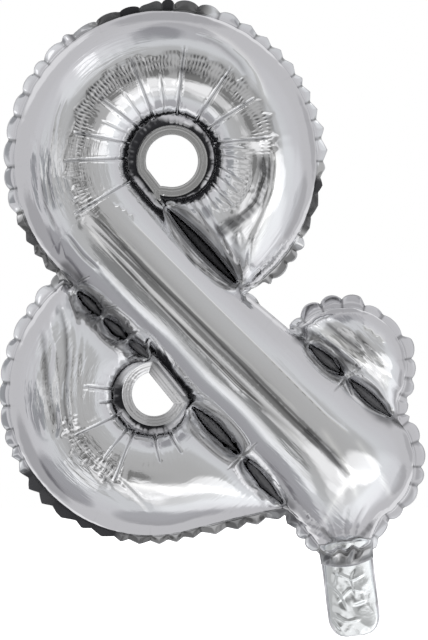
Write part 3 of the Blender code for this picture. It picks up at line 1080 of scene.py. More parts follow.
class Creases:
    """Where the film of the front is creased, in the photo's pixels, with the painted shade and painted
    highlight lines that go with the creases.
    """

    arm_zigzag = (362, 322, 366, 330, 371, 328, 374, 336, 379, 334, 382, 342, 387, 341)
    upper_tucks = pressed(
        (156, 124, 131, 60), (177, 118, 185, 50), (195, 124, 232, 70), (207, 131, 255, 100),
        (211, 146, 268, 140), (142, 132, 98, 98), (133, 146, 75, 135), (132, 160, 65, 163),
        (133, 181, 75, 217),
        width=0.55, height=0.8, taper=0.08, ink=0.5,
    )
    soft_tucks = pressed(
        (213, 165, 245, 185), (205, 180, 235, 210), (166, 119, 160, 74),
        (212, 156, 250, 162), (148, 127, 122, 92), (136, 139, 100, 122), (212, 173, 240, 196),
        (209, 178, 228, 200), (200, 186, 218, 212), (216, 150, 246, 150),
        width=0.6, height=0.35, ink=0.35,
    )
    lower_tucks = pressed(
        (124, 390, 85, 385), (125, 411, 75, 435), (131, 424, 105, 457), (138, 421, 115, 480),
        (154, 430, 161, 462), (168, 428, 182, 452), (122, 400, 100, 402),
        width=0.55, height=0.75, taper=0.08, ink=0.5,
    )
    white_lines = pressed(
        (131, 221, 176, 266, 205, 295, 265, 354, 326, 415, 350, 434),
        width=0.6, height=0.42, profile=Profile.RIDGE, taper=0.06,
    ) + pressed(
        (92, 234, 128, 272, 178, 324, 236, 384, 296, 434),
        width=1.4, height=0.34, profile=Profile.RIDGE, taper=0.2,
    )
    # grooves with painted shade along them, besides their small depth
    dark_lines = pressed(
        (90, 210, 145, 270, 187, 311, 245, 369, 293, 418, 330, 453, 349, 476),
        width=1.35, height=0.16, taper=0.08, ink=0.62,
    ) + pressed(
        (90, 230, 124, 265, 150, 294, 177, 321, 220, 363, 263, 406, 312, 450),
        width=1.6, height=0.20, taper=0.2, ink=0.58,
    ) + pressed(
        (88, 219, 112, 243, 150, 281, 176, 306),
        width=1.1, height=0.16, taper=0.3, ink=0.28,
    )
    long_folds = pressed(
        (98, 206, 150, 262, 230, 345, 300, 412), (70, 236, 118, 292, 170, 352),
        width=2.0, height=0.16, profile=Profile.FOLD, taper=0.2, ink=0.1,
    )
    # painted highlight lines: no height, only colour mixed towards white
    glints = pressed(
        (128, 218, 176, 266, 205, 295, 265, 354, 326, 415, 352, 436),
        (99, 215, 145, 262, 196, 314, 250, 364, 300, 414), (86, 226, 124, 268, 178, 318, 236, 380, 306, 446),
        width=0.75, height=0.0, profile=Profile.GLINT, taper=0.05, ink=-1.0,
    ) + pressed(
        (318, 424, 336, 450, 350, 476, 356, 500), (352, 436, 372, 462, 392, 500),
        (345, 480, 330, 505, 322, 524), (118, 478, 150, 486, 200, 487, 250, 496),
        (202, 30, 229, 44, 248, 62, 260, 84, 268, 110),
        (272, 146, 276, 170, 272, 200, 262, 232, 248, 268), (306, 320, 340, 342, 372, 370),
        arm_zigzag, (372, 352, 380, 366, 388, 388),
        width=1.6, height=0.0, profile=Profile.GLINT, taper=0.15, ink=-1.0,
    )
    arm_folds = pressed(
        (303, 318, 338, 342, 372, 372), (322, 312, 352, 332, 386, 362), (314, 330, 344, 350, 366, 372),
        width=1.2, height=0.5, profile=Profile.RIDGE, taper=0.2,
    ) + pressed(
        (300, 326, 330, 346, 366, 378), (322, 320, 342, 336, 363, 353), (352, 330, 366, 346, 385, 370),
        width=1.4, height=0.45, taper=0.2, ink=0.62,
    ) + pressed(arm_zigzag, width=0.7, height=0.5, profile=Profile.RIDGE, taper=0.1)
    foot_folds = pressed(
        (352, 540, 356, 520, 366, 500), (345, 541, 344, 522, 348, 502), (336, 540, 330, 522, 318, 506),
        (362, 538, 370, 522, 384, 508), (328, 538, 318, 526, 302, 518),
        width=1.1, height=0.28, taper=0.25, ink=0.14,
    )
    zigzag = pressed(
        (112, 202, 117, 209, 120, 205, 123, 213, 127, 209, 129, 217, 134, 214, 135, 223),
        width=0.5, height=0.3, profile=Profile.RIDGE, taper=0.1,
    )
    bowl_end = pressed(
        (269, 142, 272, 165, 270, 190, 262, 214, 250, 240, 244, 278),
        width=2.4, height=1.3, profile=Profile.FOLD, taper=0.12,
    ) + pressed(
        (262, 150, 264, 178, 254, 204, 232, 224), (250, 166, 250, 184, 240, 203, 220, 215),
        (196, 196, 214, 222, 236, 262), (190, 200, 212, 232, 238, 276),
        width=0.9, height=0.4, profile=Profile.FOLD, taper=0.2, ink=0.25,
    )
    top_arc = pressed(
        (198, 27, 226, 42, 246, 60, 259, 82, 267, 106),
        width=1.6, height=0.34, profile=Profile.RIDGE, taper=0.2,
    ) + pressed((196, 36, 220, 48, 239, 65, 251, 86), width=1.6, height=0.2, taper=0.25, ink=0.34)
    crest_arcs = pressed(
        (225, 44, 244, 60, 256, 76, 263, 92), (190, 34, 214, 40, 232, 50), (74, 52, 90, 40, 110, 32),
        (70, 96, 62, 118, 58, 150), (66, 92, 56, 122, 52, 160),
        width=0.7, height=0.30, profile=Profile.RIDGE, taper=0.3,
    )
    left_waves = pressed(
        (67, 292, 75, 315, 77, 347, 73, 388, 76, 432), (50, 312, 58, 352, 61, 388, 69, 426),
        width=2.2, height=0.85, profile=Profile.RIDGE, taper=0.15,
    ) + pressed(
        (59, 296, 67, 330, 69, 362, 66, 400, 73, 436), (42, 326, 48, 366, 52, 402, 62, 434),
        width=1.8, height=0.55, taper=0.15, ink=0.5,
    ) + pressed(
        (90, 296, 85, 322, 84, 352, 82, 384), (36, 340, 38, 372, 43, 404),
        width=1.2, height=0.35, profile=Profile.RIDGE, taper=0.25,
    )
    left_streaks = pressed(
        (38, 130, 32, 165, 38, 205, 50, 232), (47, 120, 41, 160, 46, 200, 58, 228),
        (58, 118, 52, 150, 54, 188),
        width=0.9, height=0.34, profile=Profile.RIDGE, taper=0.25,
    ) + pressed(
        (52, 150, 50, 178, 56, 212), (43, 175, 47, 205, 60, 238), (66, 232, 84, 256, 104, 274),
        width=1.1, height=0.3, taper=0.25, ink=0.4,
    )
    star_creases = pressed(
        (78, 283, 64, 272), (78, 283, 92, 276), (78, 283, 74, 298), (98, 310, 84, 316), (98, 310, 104, 296),
        (98, 310, 118, 306), (125, 335, 112, 344), (125, 335, 140, 330), (125, 335, 128, 320),
        (142, 352, 150, 338), (142, 352, 128, 360), (242, 455, 226, 470), (242, 455, 258, 440),
        (242, 455, 262, 468), (345, 377, 332, 392), (345, 377, 362, 366), (345, 377, 352, 396),
        (388, 417, 410, 430), (241, 287, 258, 300), (241, 287, 262, 282),
        (284, 504, 300, 520), (342, 373, 334, 356), (238, 450, 222, 444),
        width=0.6, height=0.4, ink=0.4,
    )
    bank = (
        top_arc + glints + arm_folds + foot_folds + bowl_end + crest_arcs + left_waves + left_streaks
        + upper_tucks + soft_tucks + lower_tucks + white_lines + dark_lines + long_folds + zigzag
        + star_creases
    )

    @classmethod
    def guides(cls) -> Array:
        """Vertices that the creases ask of the mesh."""
        return np.concatenate([crease.guides() for crease in cls.bank])

    @classmethod
    def press(cls, places: Array) -> tuple[Array, Array, Array]:
        """Press every crease into the film.

        Args:
            places: X and Z of the places.

        Returns:
            The summed moves in metres, the painted shade and the painted highlight at each place.
        """
        moved, dark, light = (np.zeros(len(places)) for _ in range(3))
        for crease in cls.bank:
            lift, ink = crease.press(places)
            moved += lift
            dark = np.maximum(dark, ink)
            light = np.maximum(light, -ink)
        return moved, dark, light


@dataclass(frozen=True)
class Grain:
    """How the finest creases lie: round each bowl, and along the long stroke and all beyond it."""

    upper_bowl: tuple = (165.5, 161.5)
    lower_bowl: tuple = (150.0, 395.0)
    # where the stroke starts, how far its edge lies from its middle, and the row where the bowls meet
    stroke_start: float = -140.0
    stroke_edge: float = 57.0
    bowls_meet: float = 290.0
    along_offset: float = 500.0
    length: float = 22 * MM
    width: float = 2.4 * MM
    turning_radius: float = 60 * MM
    # places in the photo where the creases are strong: column, row, reach in pixels, strength
    spots: tuple = (
        (66, 170, 50, 0.9), (110, 60, 45, 0.5), (60, 375, 55, 1.0), (90, 460, 40, 0.6),
        (350, 345, 45, 0.4), (312, 312, 22, 1.0),
        (280, 470, 36, 0.35), (120, 235, 35, 0.25), (326, 520, 26, 0.6), (250, 190, 30, 0.25),
        (270, 255, 30, 0.5), (300, 330, 40, 0.6), (240, 500, 35, 0.4),
    )

    def coordinates(self, places: Array) -> Array:
        """Noise coordinates of each place: slow along the creases, quick across them.

        Args:
            places: X and Z of the places.

        Returns:
            Three numbers for each place.
        """
        column, row = places[:, 0] / PIXEL + MIDDLE_PIXEL[0], MIDDLE_PIXEL[1] - places[:, 1] / PIXEL
        along = (column + row - self.along_offset) / math.sqrt(2)
        across = (column - row + STROKE_OFFSET) / math.sqrt(2)
        own_table_row = np.full(len(places), 7.0)
        found = np.stack([along * PIXEL / self.length, own_table_row, across * PIXEL / self.width], axis=1)
        above = (along < self.stroke_start) & (row < self.bowls_meet)
        above |= (across > self.stroke_edge) & (along < 20)
        for bowl, mine in ((self.upper_bowl, above), (self.lower_bowl, across < -self.stroke_edge)):
            away = places - np.array(at(*bowl))
            radius = np.maximum(np.linalg.norm(away, axis=1), 1 * MM)
            turns = away / radius[:, None] * self.turning_radius / self.length
            round_bowl = np.stack([turns[:, 0], turns[:, 1], radius / self.width], axis=1)
            found = np.where(mine[:, None], round_bowl, found)
        return found

    def strength(self, places: Array, noise: Noise) -> Array:
        """How strong the creases are.

        Args:
            places: X and Z of the places.
            noise: what makes the faint creases between the strong ones patchy.

        Returns:
            The strength at each place, from 0 to 1.
        """
        patch = 16 * MM
        strong = np.clip(0.04 + 0.16 * noise(places[:, 0] / patch, places[:, 1] / patch), 0.05, 1)
        for column, row, reach, level in self.spots:
            away = np.linalg.norm(places - np.array(at(column, row)), axis=1) / (reach * PIXEL)
            strong = np.maximum(strong, level * (1 - ease(0.5, 1.2, away)))
        return strong


@dataclass(frozen=True)
class DeepBand:
    """Painted shade on film so deep between its neighbours that it stays dark, along a line in photo pixels.
    """

    half_width: float
    depth: float
    line: tuple

    def darkness(self, places: Array, noise: Noise) -> Array:
        """How dark the painted shade makes the film.

        Args:
            places: X and Z of the places.
            noise: what makes the band's edge wander and its middle streaky.

        Returns:
            The painted shade at each place, from 0 to 1.
        """
        away = distance_to(self.line, places)
        wander = noise(places[:, 0] / (7 * MM), places[:, 1] / (7 * MM))
        edge = self.half_width * PIXEL * (1 + 0.3 * wander)
        along, across = (places[:, 0] - places[:, 1]), (places[:, 0] + places[:, 1])
        streak = noise(across / (1.9 * MM) + 0.8 * wander, along / (26 * MM))
        return self.depth * (1 - ease(edge * 0.45, edge * 1.35, away)) * np.clip(0.86 + 0.34 * streak, 0, 1)


@dataclass(frozen=True)
class RippleBand:
    """Long uneven waves that lie side by side along a line; sizes in photo pixels, the height in mm."""

    half_width: float
    pitch: float
    length: float
    height: float
    line: tuple

    def lift(self, places: Array, noise: Noise) -> Array:
        """How far the waves move the film.

        Args:
            places: X and Z of the places.
            noise: what makes the waves uneven.

        Returns:
            The move outward in metres.
        """
        away = distance_to(self.line, places)
        start, end = np.array(at(*self.line[0])), np.array(at(*self.line[-1]))
        run = (end - start) / np.linalg.norm(end - start)
        along = (places - start) @ run
        across = (places - start) @ np.array((-run[1], run[0]))
        sway = 0.5 * noise(along / (10 * MM), across / (10 * MM))
        wave = noise(across / (self.pitch * PIXEL) + sway, along / (self.length * PIXEL))
        edge = self.half_width * PIXEL
        return self.height * MM * wave * (1 - ease(edge * 0.6, edge, away))


def banded(kind: type, *rows: tuple) -> tuple:
    """Bands of one kind, from rows that hold its sizes and last its line: x, y, x, y and so on."""
    return tuple(kind(*row[:-1], paired(row[-1])) for row in rows)


@dataclass
class Film:
    """One side of the envelope."""

    name: str
    side: int
    plan: WeldPlan
    rim: RimPattern
    step: float
    fine: float
    seed: int

    upper = EyeGather(
        centre=at(172, 161), seam=UPPER_EYE_RADIUS, crest=60.5 * MM, first=7, last=212, waves=118,
        tucks=(107, 84, 57, 36, 7, 142, 165, 181, 210, 334, 310), fan=(116, 190),
    )
    lower = EyeGather(
        centre=at(154, 394), seam=LOWER_EYE_RADIUS, crest=55 * MM, first=196, last=250, waves=84,
        tucks=(175, 205, 236, 253), fan=(78, 112), below=True,
    )
    # half width, darkness of the painted shade, and line
    deep_bands = banded(
        DeepBand,
        (9.5, 0.5, (158, 194, 176, 212, 206, 248, 238, 284)),
        (4.5, 0.72, (200, 240, 216, 258, 240, 286)), (3, 0.45, (156, 196, 170, 210, 204, 246)),
        (8.5, 0.84, (66, 270, 80, 285, 147, 352)), (5, 0.84, (76, 279, 148, 350)),
        (5, 0.96, (78, 282, 78, 284)), (5, 0.96, (98, 309, 98, 311)), (5, 0.96, (125, 334, 125, 336)),
        (6, 0.96, (142, 351, 142, 353)), (5, 0.6, (142, 352, 158, 366, 186, 398, 200, 410)),
        (9, 0.48, (198, 408, 240, 454)), (4.5, 0.5, (204, 414, 236, 450)),
        (9, 0.48, (246, 462, 286, 506)), (4.5, 0.5, (250, 466, 282, 502)),
        (9, 0.66, (300, 337, 340, 368)), (4.5, 0.5, (306, 342, 338, 366)),
        (9, 0.68, (350, 382, 388, 417)), (4.5, 0.5, (352, 384, 386, 415)),
        (3.5, 0.8, (388, 417, 412, 431)), (6, 0.5, (50, 260, 60, 270, 70, 280)),
        (4, 0.5, (234, 240, 240, 262, 243, 280)),
        (6, 0.78, (265, 164, 263, 184, 257, 202, 246, 216, 222, 231)),
        (5, 0.55, (306, 430, 324, 447, 345, 472)), (3, 0.55, (322, 528, 332, 538, 344, 541)),
        (3, 0.55, (352, 541, 362, 534, 370, 524)),
    )
    # half width, pitch, length, height and line
    ripple_bands = banded(
        RippleBand,
        (20, 5, 34, 0.55, (60, 322, 48, 372, 56, 420)), (10, 4, 40, 0.35, (84, 330, 76, 380, 84, 410)),
        (16, 5, 40, 0.35, (38, 150, 36, 205, 58, 246)), (16, 4, 22, 0.3, (78, 432, 98, 470, 140, 500)),
        (24, 7, 40, 0.55, (310, 322, 345, 345, 386, 385)), (14, 4, 10, 0.5, (262, 496, 318, 540)),
        (15, 2.4, 8, 0.16, (66, 284, 146, 354)), (12, 2.6, 12, 0.2, (198, 408, 286, 506)),
        (16, 5, 14, 0.5, (330, 540, 366, 540)), (16, 4.5, 30, 0.22, (250, 205, 240, 232, 215, 240)),
        (9, 3.2, 26, 0.25, (240, 240, 243, 282)),
    )
    pucker_height, pucker_reach, tooth_height = 0.9 * MM, 11 * MM, 0.16 * MM
    slow_height, quick_height, streak_height = 0.30 * MM, 0.06 * MM, 0.10 * MM
    # how far the rim's painted shade reaches into the film, and how low a lobe is where its cusp gets painted
    # shade
    rim_reach = 6 * MM
    valley_under, centimetres = 0.14, 100
    # how dark the painted shade on the film beside each kind of slit is, and how much lighter it is at the
    # slit's very edge
    slit_darks = {"upper": 0.5, "left": 0.42, "lower": 0.3, "arm": 0.3}
    slit_edge = 0.75

    def along_normals(self, mesh: FilmMesh, lift: Array) -> Array:
        """The film's places after each has moved along the film's normal.

        Args:
            mesh: the flat mesh with its depth.
            lift: the moves outward.

        Returns:
            The places, one a row.
        """
        base = np.stack([mesh.points[:, 0], -mesh.depth, mesh.points[:, 1]], axis=1)
        a, b, c = (base[mesh.faces[:, i]] for i in range(3))
        face_normals = np.cross(b - a, c - a)
        count = len(base)
        normals = np.stack([
            sum(np.bincount(mesh.faces[:, i], face_normals[:, axis], count) for i in range(3))
            for axis in range(3)
        ], axis=1)
        normals /= np.maximum(np.linalg.norm(normals, axis=1, keepdims=True), 1e-12)
        return base + normals * lift[:, None]

    def puckers(self, mesh: FilmMesh) -> Array:
        """Gathers that run from the outer weld into the film, one to a lobe.

        Args:
            mesh: the flat mesh with its depth.

        Returns:
            The move outward at each point, in metres.
        """
        phase = self.rim.phase[mesh.near]
        cusp = self.rim.lobe(phase) ** 0.8
        lone = np.sin(2.17 * np.floor(phase) + self.seed) * 0.35 + 0.7
        fade = np.exp(-((mesh.run / self.pucker_reach) ** 1.5)) * ease(0, 1.5 * MM, mesh.run)
        puckers = (cusp - 0.65) * self.pucker_height * lone * fade * self.rim.broad[mesh.near]
        tooth = np.sin(2 * np.pi * phase * 5.6 + 2 * np.sin(phase * 2.3))
        comb = self.rim.comb[mesh.near] * hump(1 * MM, 5 * MM, 12 * MM, 17 * MM, mesh.run)
        return puckers + self.tooth_height * tooth * comb

    def crumple(self, places: Array, mesh: FilmMesh) -> Array:
        """Slow unevenness over the whole film, drawn out along the long stroke.

        Args:
            places: X and Z of the places.
            mesh: the flat mesh with its depth.

        Returns:
            The move outward in metres.
        """
        noise = Noise(self.seed)
        along, across = diagonal(places[:, 0], places[:, 1])
        slow = noise(along / (60 * MM) + 5, across / (22 * MM) + 3) * self.slow_height
        quick = noise(along / (25 * MM), across / (9 * MM)) * self.quick_height
        return (slow + quick) * ease(2 * MM, 20 * MM, mesh.run)

    def shade(self, mesh: FilmMesh, noise: Noise, gather: Array) -> Array:
        """Painted shade: how dark the film's colour is made where its neighbours shut out the light.

        Args:
            mesh: the flat mesh with its depth.
            noise: what makes the edges ragged.
            gather: how strong the finest gathers are.

        Returns:
            The painted shade at each point, from 0 to 1.
        """
        flat = mesh.points
        dark = np.maximum(self.upper.darkness(flat, noise), self.lower.darkness(flat, noise))
        dark = np.maximum(dark, 0.06 * gather)
        lobe = self.rim.lobe(self.rim.phase[mesh.near])
        valley = 1 - ease(0.0, self.valley_under, lobe * self.rim.pitch * self.centimetres)
        dark = np.maximum(dark, 0.72 * valley * np.exp(-mesh.run / self.rim_reach))
        rim = self.rim.dark[mesh.near] * np.exp(-((mesh.run / self.rim_reach) ** 2)) * 0.95
        dark = np.maximum(dark, rim)
        slit = np.full(len(flat), 1.0)
        for name, lens in self.plan.webs.items():
            away = nearest(flat, lens)[1]
            slit = np.minimum(slit, away)
            beside = self.slit_darks[name.split("_")[0]]
            dark = np.maximum(dark, beside * (1 - ease(1.2 * MM, 5.6 * MM, away)))
        for band in self.deep_bands:
            dark = np.maximum(dark, band.darkness(flat, noise))
        return dark * (1 - self.slit_edge * (1 - ease(0.6 * MM, 2.8 * MM, slit)))

    def build(self) -> None:
        """Shape the film and dress it."""
        front = self.side < 0
        mesh = FilmMesh(self.plan, self.step, Creases.guides() if front else np.zeros((0, 2)), self.fine)
        flat = mesh.points
        noise = Noise(self.seed + 1)
        lift = self.puckers(mesh) + self.crumple(flat, mesh)
        lift += self.upper.lift(flat, noise) + self.lower.lift(flat, noise)
        gather, turn = self.upper.dashes(flat, noise)
        below, turn_below = self.lower.dashes(flat, noise)
        turn = np.where(below > gather, turn_below, turn)
        gather = np.maximum(gather, below)
        # painted shade and painted highlight, which the shaded finish mixes into the film's colour
        dark = self.shade(mesh, noise, gather)
        light = np.zeros(len(flat))
        if front:
            for band in self.ripple_bands:
                lift += band.lift(flat, noise)
            # the creases add their painted shade and painted highlight lines
            moved, ink, light = Creases.press(flat)
            lift += moved
            dark = 1 - (1 - dark) * (1 - ink)
        grain = Grain()
        field, strong = grain.coordinates(flat), grain.strength(flat, noise) * ease(1 * MM, 8 * MM, mesh.run)
        streak = noise(field[:, 2] * 0.55 + 9, field[:, 0] * 0.6 + field[:, 1] * 0.8)
        lift += self.streak_height * streak * strong
        points = self.along_normals(mesh, lift * np.clip(mesh.depth / (4 * MM), 0, 1))
        points[:, 1] += self.rim.wave(self.rim.phase[mesh.near]) * np.exp(-mesh.run / (7 * MM))
        points[:, 1] *= -self.side
        LOG.info("%s: %d points, depth %.1f mm", self.name, len(points), mesh.depth.max() / MM)
        faces = mesh.faces if front else mesh.faces[:, ::-1]
        thing = mesh_object(self.name + "_film", points, faces, dark=dark, gather=gather, turn=turn,
                            field=field, strong=strong, light=light)
        dressed(thing, Finishes.SHADED, "silver_film", self.name)


def linked(name: str, data: bpy.types.ID) -> bpy.types.Object:
    """A new object in the scene, of a mesh or a camera."""
    thing = bpy.data.objects.new(name, data)
    bpy.context.scene.collection.objects.link(thing)
    return thing


def noted(mesh: bpy.types.Mesh, **layers: Array) -> None:
    """Note values or vectors at a mesh's vertices.

    Args:
        mesh: the mesh.
        layers: the values or vectors, by attribute name.
    """
    for key, values in layers.items():
        vector = values.ndim == 2
        layer = mesh.attributes.new(key, "FLOAT_VECTOR" if vector else "FLOAT", "POINT")
        layer.data.foreach_set("vector" if vector else "value", np.asarray(values, np.float32).ravel())


def mesh_object(name: str, points: Array, faces: Array, **layers: Array) -> bpy.types.Object:
    """A smooth-shaded mesh object.

    Args:
        name: the object's name.
        points: its vertices.
        faces: its triangles or quads.
        layers: values or vectors at the vertices, by attribute name.

    Returns:
        The new object.
    """
    mesh = bpy.data.meshes.new(name)
    mesh.from_pydata([tuple(p) for p in points], [], [tuple(map(int, f)) for f in faces])
    mesh.polygons.foreach_set("use_smooth", [True] * len(mesh.polygons))
    noted(mesh, **layers)
    mesh.update()
    return linked(name, mesh)


# Node trees


def arithmetic(operation: str, swapped: bool = False) -> Callable:
    """A method of Term for one operation.

    Args:
        operation: the operation of the maths node.
        swapped: whether the term comes last.

    Returns:
        The method.
    """
    def method(term: "Term", other: "Value") -> "Term":
        """One step of arithmetic on a term and another value."""
        return term.graph.maths(operation, *((other, term) if swapped else (term, other)))

    return method


class Term:
    """A node socket that can be used in plain arithmetic."""

    __add__ = __radd__ = arithmetic("ADD")
    __mul__ = __rmul__ = arithmetic("MULTIPLY")
    __sub__, __rsub__ = arithmetic("SUBTRACT"), arithmetic("SUBTRACT", swapped=True)
    __truediv__, __rtruediv__ = arithmetic("DIVIDE"), arithmetic("DIVIDE", swapped=True)
    __pow__, __rpow__ = arithmetic("POWER"), arithmetic("POWER", swapped=True)

    def __init__(self, graph: "Graph", socket: bpy.types.NodeSocket) -> None:
        """Hold the socket and the tree it is in."""
        self.graph, self.socket = graph, socket


Value = Term | float | tuple


class Graph:
    """A node tree that is written as expressions."""

    def __init__(self, tree: bpy.types.NodeTree) -> None:
        """Hold the tree."""
        self.tree = tree

    def put(self, socket: bpy.types.NodeSocket, value: Value) -> None:
        """Link a term to a socket, or set the socket's own value.

        Args:
            socket: the input.
            value: the term, number, vector or colour.
        """
        if isinstance(value, Term):
            self.tree.links.new(value.socket, socket)
        else:
            socket.default_value = value

    def node(self, kind: str, settings: dict | None = None, sockets: dict | None = None) -> bpy.types.Node:
        """Any node.

        Args:
            kind: its type.
            settings: its own properties.
            sockets: its inputs, by name or index.

        Returns:
            The node.
        """
        made = self.tree.nodes.new(kind)
        for key, value in (settings or {}).items():
            setattr(made, key, value)
        for key, value in (sockets or {}).items():
            self.put(made.inputs[key], value)
        return made

    def out(self, made: bpy.types.Node, key: int | str = 0) -> Term:
        """One output of a node as a term."""
        return Term(self, made.outputs[key])

    def maths(self, operation: str, *values: Value) -> Term:
        """One step of arithmetic on terms or numbers."""
        return self.out(self.node("ShaderNodeMath", {"operation": operation}, dict(enumerate(values))))

    def vector(self, operation: str, *values: Value, key: int | str = 0) -> Term:
        """One step of vector arithmetic."""
        made = self.node("ShaderNodeVectorMath", {"operation": operation}, dict(enumerate(values)))
        return self.out(made, key)

    def scaled(self, vector: Value, factor: Value) -> Term:
        """A vector times a number."""
        made = self.node("ShaderNodeVectorMath", {"operation": "SCALE"}, {0: vector, "Scale": factor})
        return self.out(made)

    def mixed(self, share: Value, first: Value, second: Value, colour: bool = False) -> Term:
        """The first vector or colour at a share of 0, the second at 1."""
        kind, a, b, key = ("RGBA", 6, 7, 2) if colour else ("VECTOR", 4, 5, 1)
        made = self.node("ShaderNodeMix", {"data_type": kind}, {"Factor": share, a: first, b: second})
        return self.out(made, key)

    def ramp(self, value: Value, low: float, high: float, start: float = 0.0, end: float = 1.0) -> Term:
        """Smooth step of a term between two values."""
        sockets = {"Value": value, "From Min": low, "From Max": high, "To Min": start, "To Max": end}
        return self.out(self.node("ShaderNodeMapRange", {"interpolation_type": "SMOOTHSTEP"}, sockets))

    def noted(self, name: str, kind: str = "FLOAT") -> Term:
        """A value that the mesh notes at its vertices."""
        return self.out(self.node("GeometryNodeInputNamedAttribute", {"data_type": kind}, {"Name": name}))

    def noise(self, place: Value, scale: float, detail: float) -> Term:
        """Noise over the piece."""
        sockets = {"Vector": place, "Scale": scale, "Detail": detail}
        return self.out(self.node("ShaderNodeTexNoise", sockets=sockets))


@dataclass(frozen=True)
class FilmFinish:
    """Metallised film: bright, faintly lavender, finely crinkled, and with painted shade and painted
    highlight where the mesh notes them.
    """

    name: str
    colour: tuple = (0.80, 0.80, 0.815)
    roughness: float = 0.065
    crinkle: float = 0.04 * MM
    grain: float = 260.0
    # whether the mesh's painted shade and painted highlight are mixed in, and the colour of the painted shade
    shaded: bool = False
    dark_colour: tuple = (0.022, 0.022, 0.025)

    slow_scale, stray_scale = 35.0, 170.0
    dash_height, streak_height = 0.09 * MM, 0.17 * MM

    def material(self) -> bpy.types.Material:
        """The finish as a Blender material.

        Returns:
            The material.
        """
        made = bpy.data.materials.new(self.name)
        made.use_nodes = True
        graph = Graph(made.node_tree)
        shader = made.node_tree.nodes["Principled BSDF"]
        place = graph.out(graph.node("ShaderNodeTexCoord"), "Object")
        slow = graph.noise(place, self.slow_scale, 2.0)
        height = graph.noise(place, self.grain, 3.0) * self.crinkle * graph.ramp(slow, 0.4, 0.65, 0.25, 1.0)
        shader.inputs["Base Color"].default_value = (*self.colour, 1)
        shader.inputs["Metallic"].default_value = 1.0
        if self.shaded:
            height = self.shade(graph, shader, place, height)
        bump = graph.node("ShaderNodeBump", sockets={"Strength": 1.0, "Distance": 1.0, "Height": height})
        graph.put(shader.inputs["Normal"], graph.out(bump))
        graph.put(shader.inputs["Roughness"], slow * 0.06 + (self.roughness - 0.03))
        return made

    def shade(self, graph: Graph, shader: bpy.types.Node, place: Term, height: Term) -> Term:
        """Paint shade and highlight into the film's colour by what its mesh notes, and raise its finest
        gathers.

        Args:
            graph: the material's tree.
            shader: its main shader.
            place: the coordinates on the piece.
            height: the crinkles' height so far.

        Returns:
            The height with the gathers and streaks added.
        """
        dark, gather, turn, strong, light = (
            graph.out(graph.node("ShaderNodeAttribute", {"attribute_name": key}), "Fac")
            for key in ("dark", "gather", "turn", "strong", "light")
        )
        field = graph.out(graph.node("ShaderNodeAttribute", {"attribute_name": "field"}), "Vector")
        stray = graph.noise(place, self.stray_scale, 1.0)
        wave = graph.maths("SINE", turn * 3.0 + stray * 7.0)
        # the finest gathers are also painted as dark dashes: painted shade
        dash = graph.ramp(wave + stray * 1.2, 0.1, 1.2) * gather
        dark = dark + dash * 0.9
        # painted highlight mixes the colour towards white; painted shade mixes it towards the dark colour and
        # turns off the metal
        gleam = graph.mixed(light, (*self.colour, 1), (1.0, 1.0, 1.0, 1), colour=True)
        graph.put(shader.inputs["Base Color"], graph.mixed(dark, gleam, (*self.dark_colour, 1), colour=True))
        graph.put(shader.inputs["Metallic"], graph.ramp(dark, 0.72, 0.95, 1.0, 0.0))
        shader.inputs["Specular IOR Level"].default_value = 0.0
        streaks = graph.ramp(graph.noise(field, 1.0, 3.0), 0.35, 0.65) * strong
        return height + wave * gather * self.dash_height + streaks * self.streak_height


class Finishes(Enum):
    """The finishes in use."""

    # the films, the outer brim and the neck's fold: painted shade and painted highlight mixed into the colour
    SHADED = FilmFinish("silver_film_painted_light_and_shade", shaded=True)
    NECK = FilmFinish("neck_film", (0.84, 0.86, 0.875), 0.12, 0.14 * MM, 300.0)
    WELD = FilmFinish("weld_film", (0.90, 0.90, 0.92), 0.16, 0.12 * MM, 420.0)
    EYE_WELD = FilmFinish("eye_weld_film", (0.90, 0.90, 0.91), 0.12, 0.05 * MM, 300.0, shaded=True)
    # the lower eye's ring: a darker copy of the eye weld, which is painted shade, with more painted shade
    # along the long stroke
    LOWER_WELD = FilmFinish("lower_eye_painted_shade_film", (0.76, 0.76, 0.78), 0.14, 0.16 * MM, 380.0, shaded=True)
    # the weld plates in the slits are coloured dark as painted shade, the upper right one darkest
    SLIT_WELD = FilmFinish("slit_weld_film", (0.20, 0.20, 0.21), 0.4, 0.01 * MM, 160.0)
    DEEP_WELD = FilmFinish("deep_weld_film", (0.07, 0.07, 0.075), 0.4, 0.01 * MM, 160.0)

    @property
    def material(self) -> bpy.types.Material:
        """The finish's material, made once."""
        return bpy.data.materials.get(self.value.name) or self.value.material()


def dressed(thing: bpy.types.Object, finish: Finishes, slot: str, *nodes: str) -> None:
    """Give a piece its finish and say what it stands for.

    Args:
        thing: the piece.
        finish: its look.
        slot: not used.
        nodes: the solids it stands for.
    """
    if not thing.data.materials:
        thing.data.materials.append(finish.material)
    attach(thing, "root")
    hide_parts(*nodes)
    LOG.info("%s: %d faces for %s", thing.name, len(thing.data.polygons), ", ".join(nodes))


def baked(thing: bpy.types.Object) -> bpy.types.Object:
    """Work an object's modifiers into its mesh.

    Args:
        thing: the object, which is removed.

    Returns:
        A plain-mesh object of the same name.
    """
    graph = bpy.context.evaluated_depsgraph_get()
    mesh = bpy.data.meshes.new_from_object(thing.evaluated_get(graph))
    name = thing.name
    bpy.data.objects.remove(thing)
    mesh.name = name
    return linked(name, mesh)


def thickened(thing: bpy.types.Object, thickness: float, offset: float) -> bpy.types.Object:
    """Give a sheet its thickness.

    Args:
        thing: the sheet, which is removed.
        thickness: in metres.
        offset: -1 behind the sheet, 0 on either side of it.

    Returns:
        The plain-mesh film.
    """
    shell = thing.modifiers.new("Shell", "SOLIDIFY")
    shell.thickness = thickness
    shell.offset = offset
    return baked(thing)


class TreeInput(Enum):
    """Kinds of input that a geometry tree takes."""

    GEOMETRY = "NodeSocketGeometry"
    NUMBER = "NodeSocketFloat"
    WHOLE = "NodeSocketInt"
    MATERIAL = "NodeSocketMaterial"


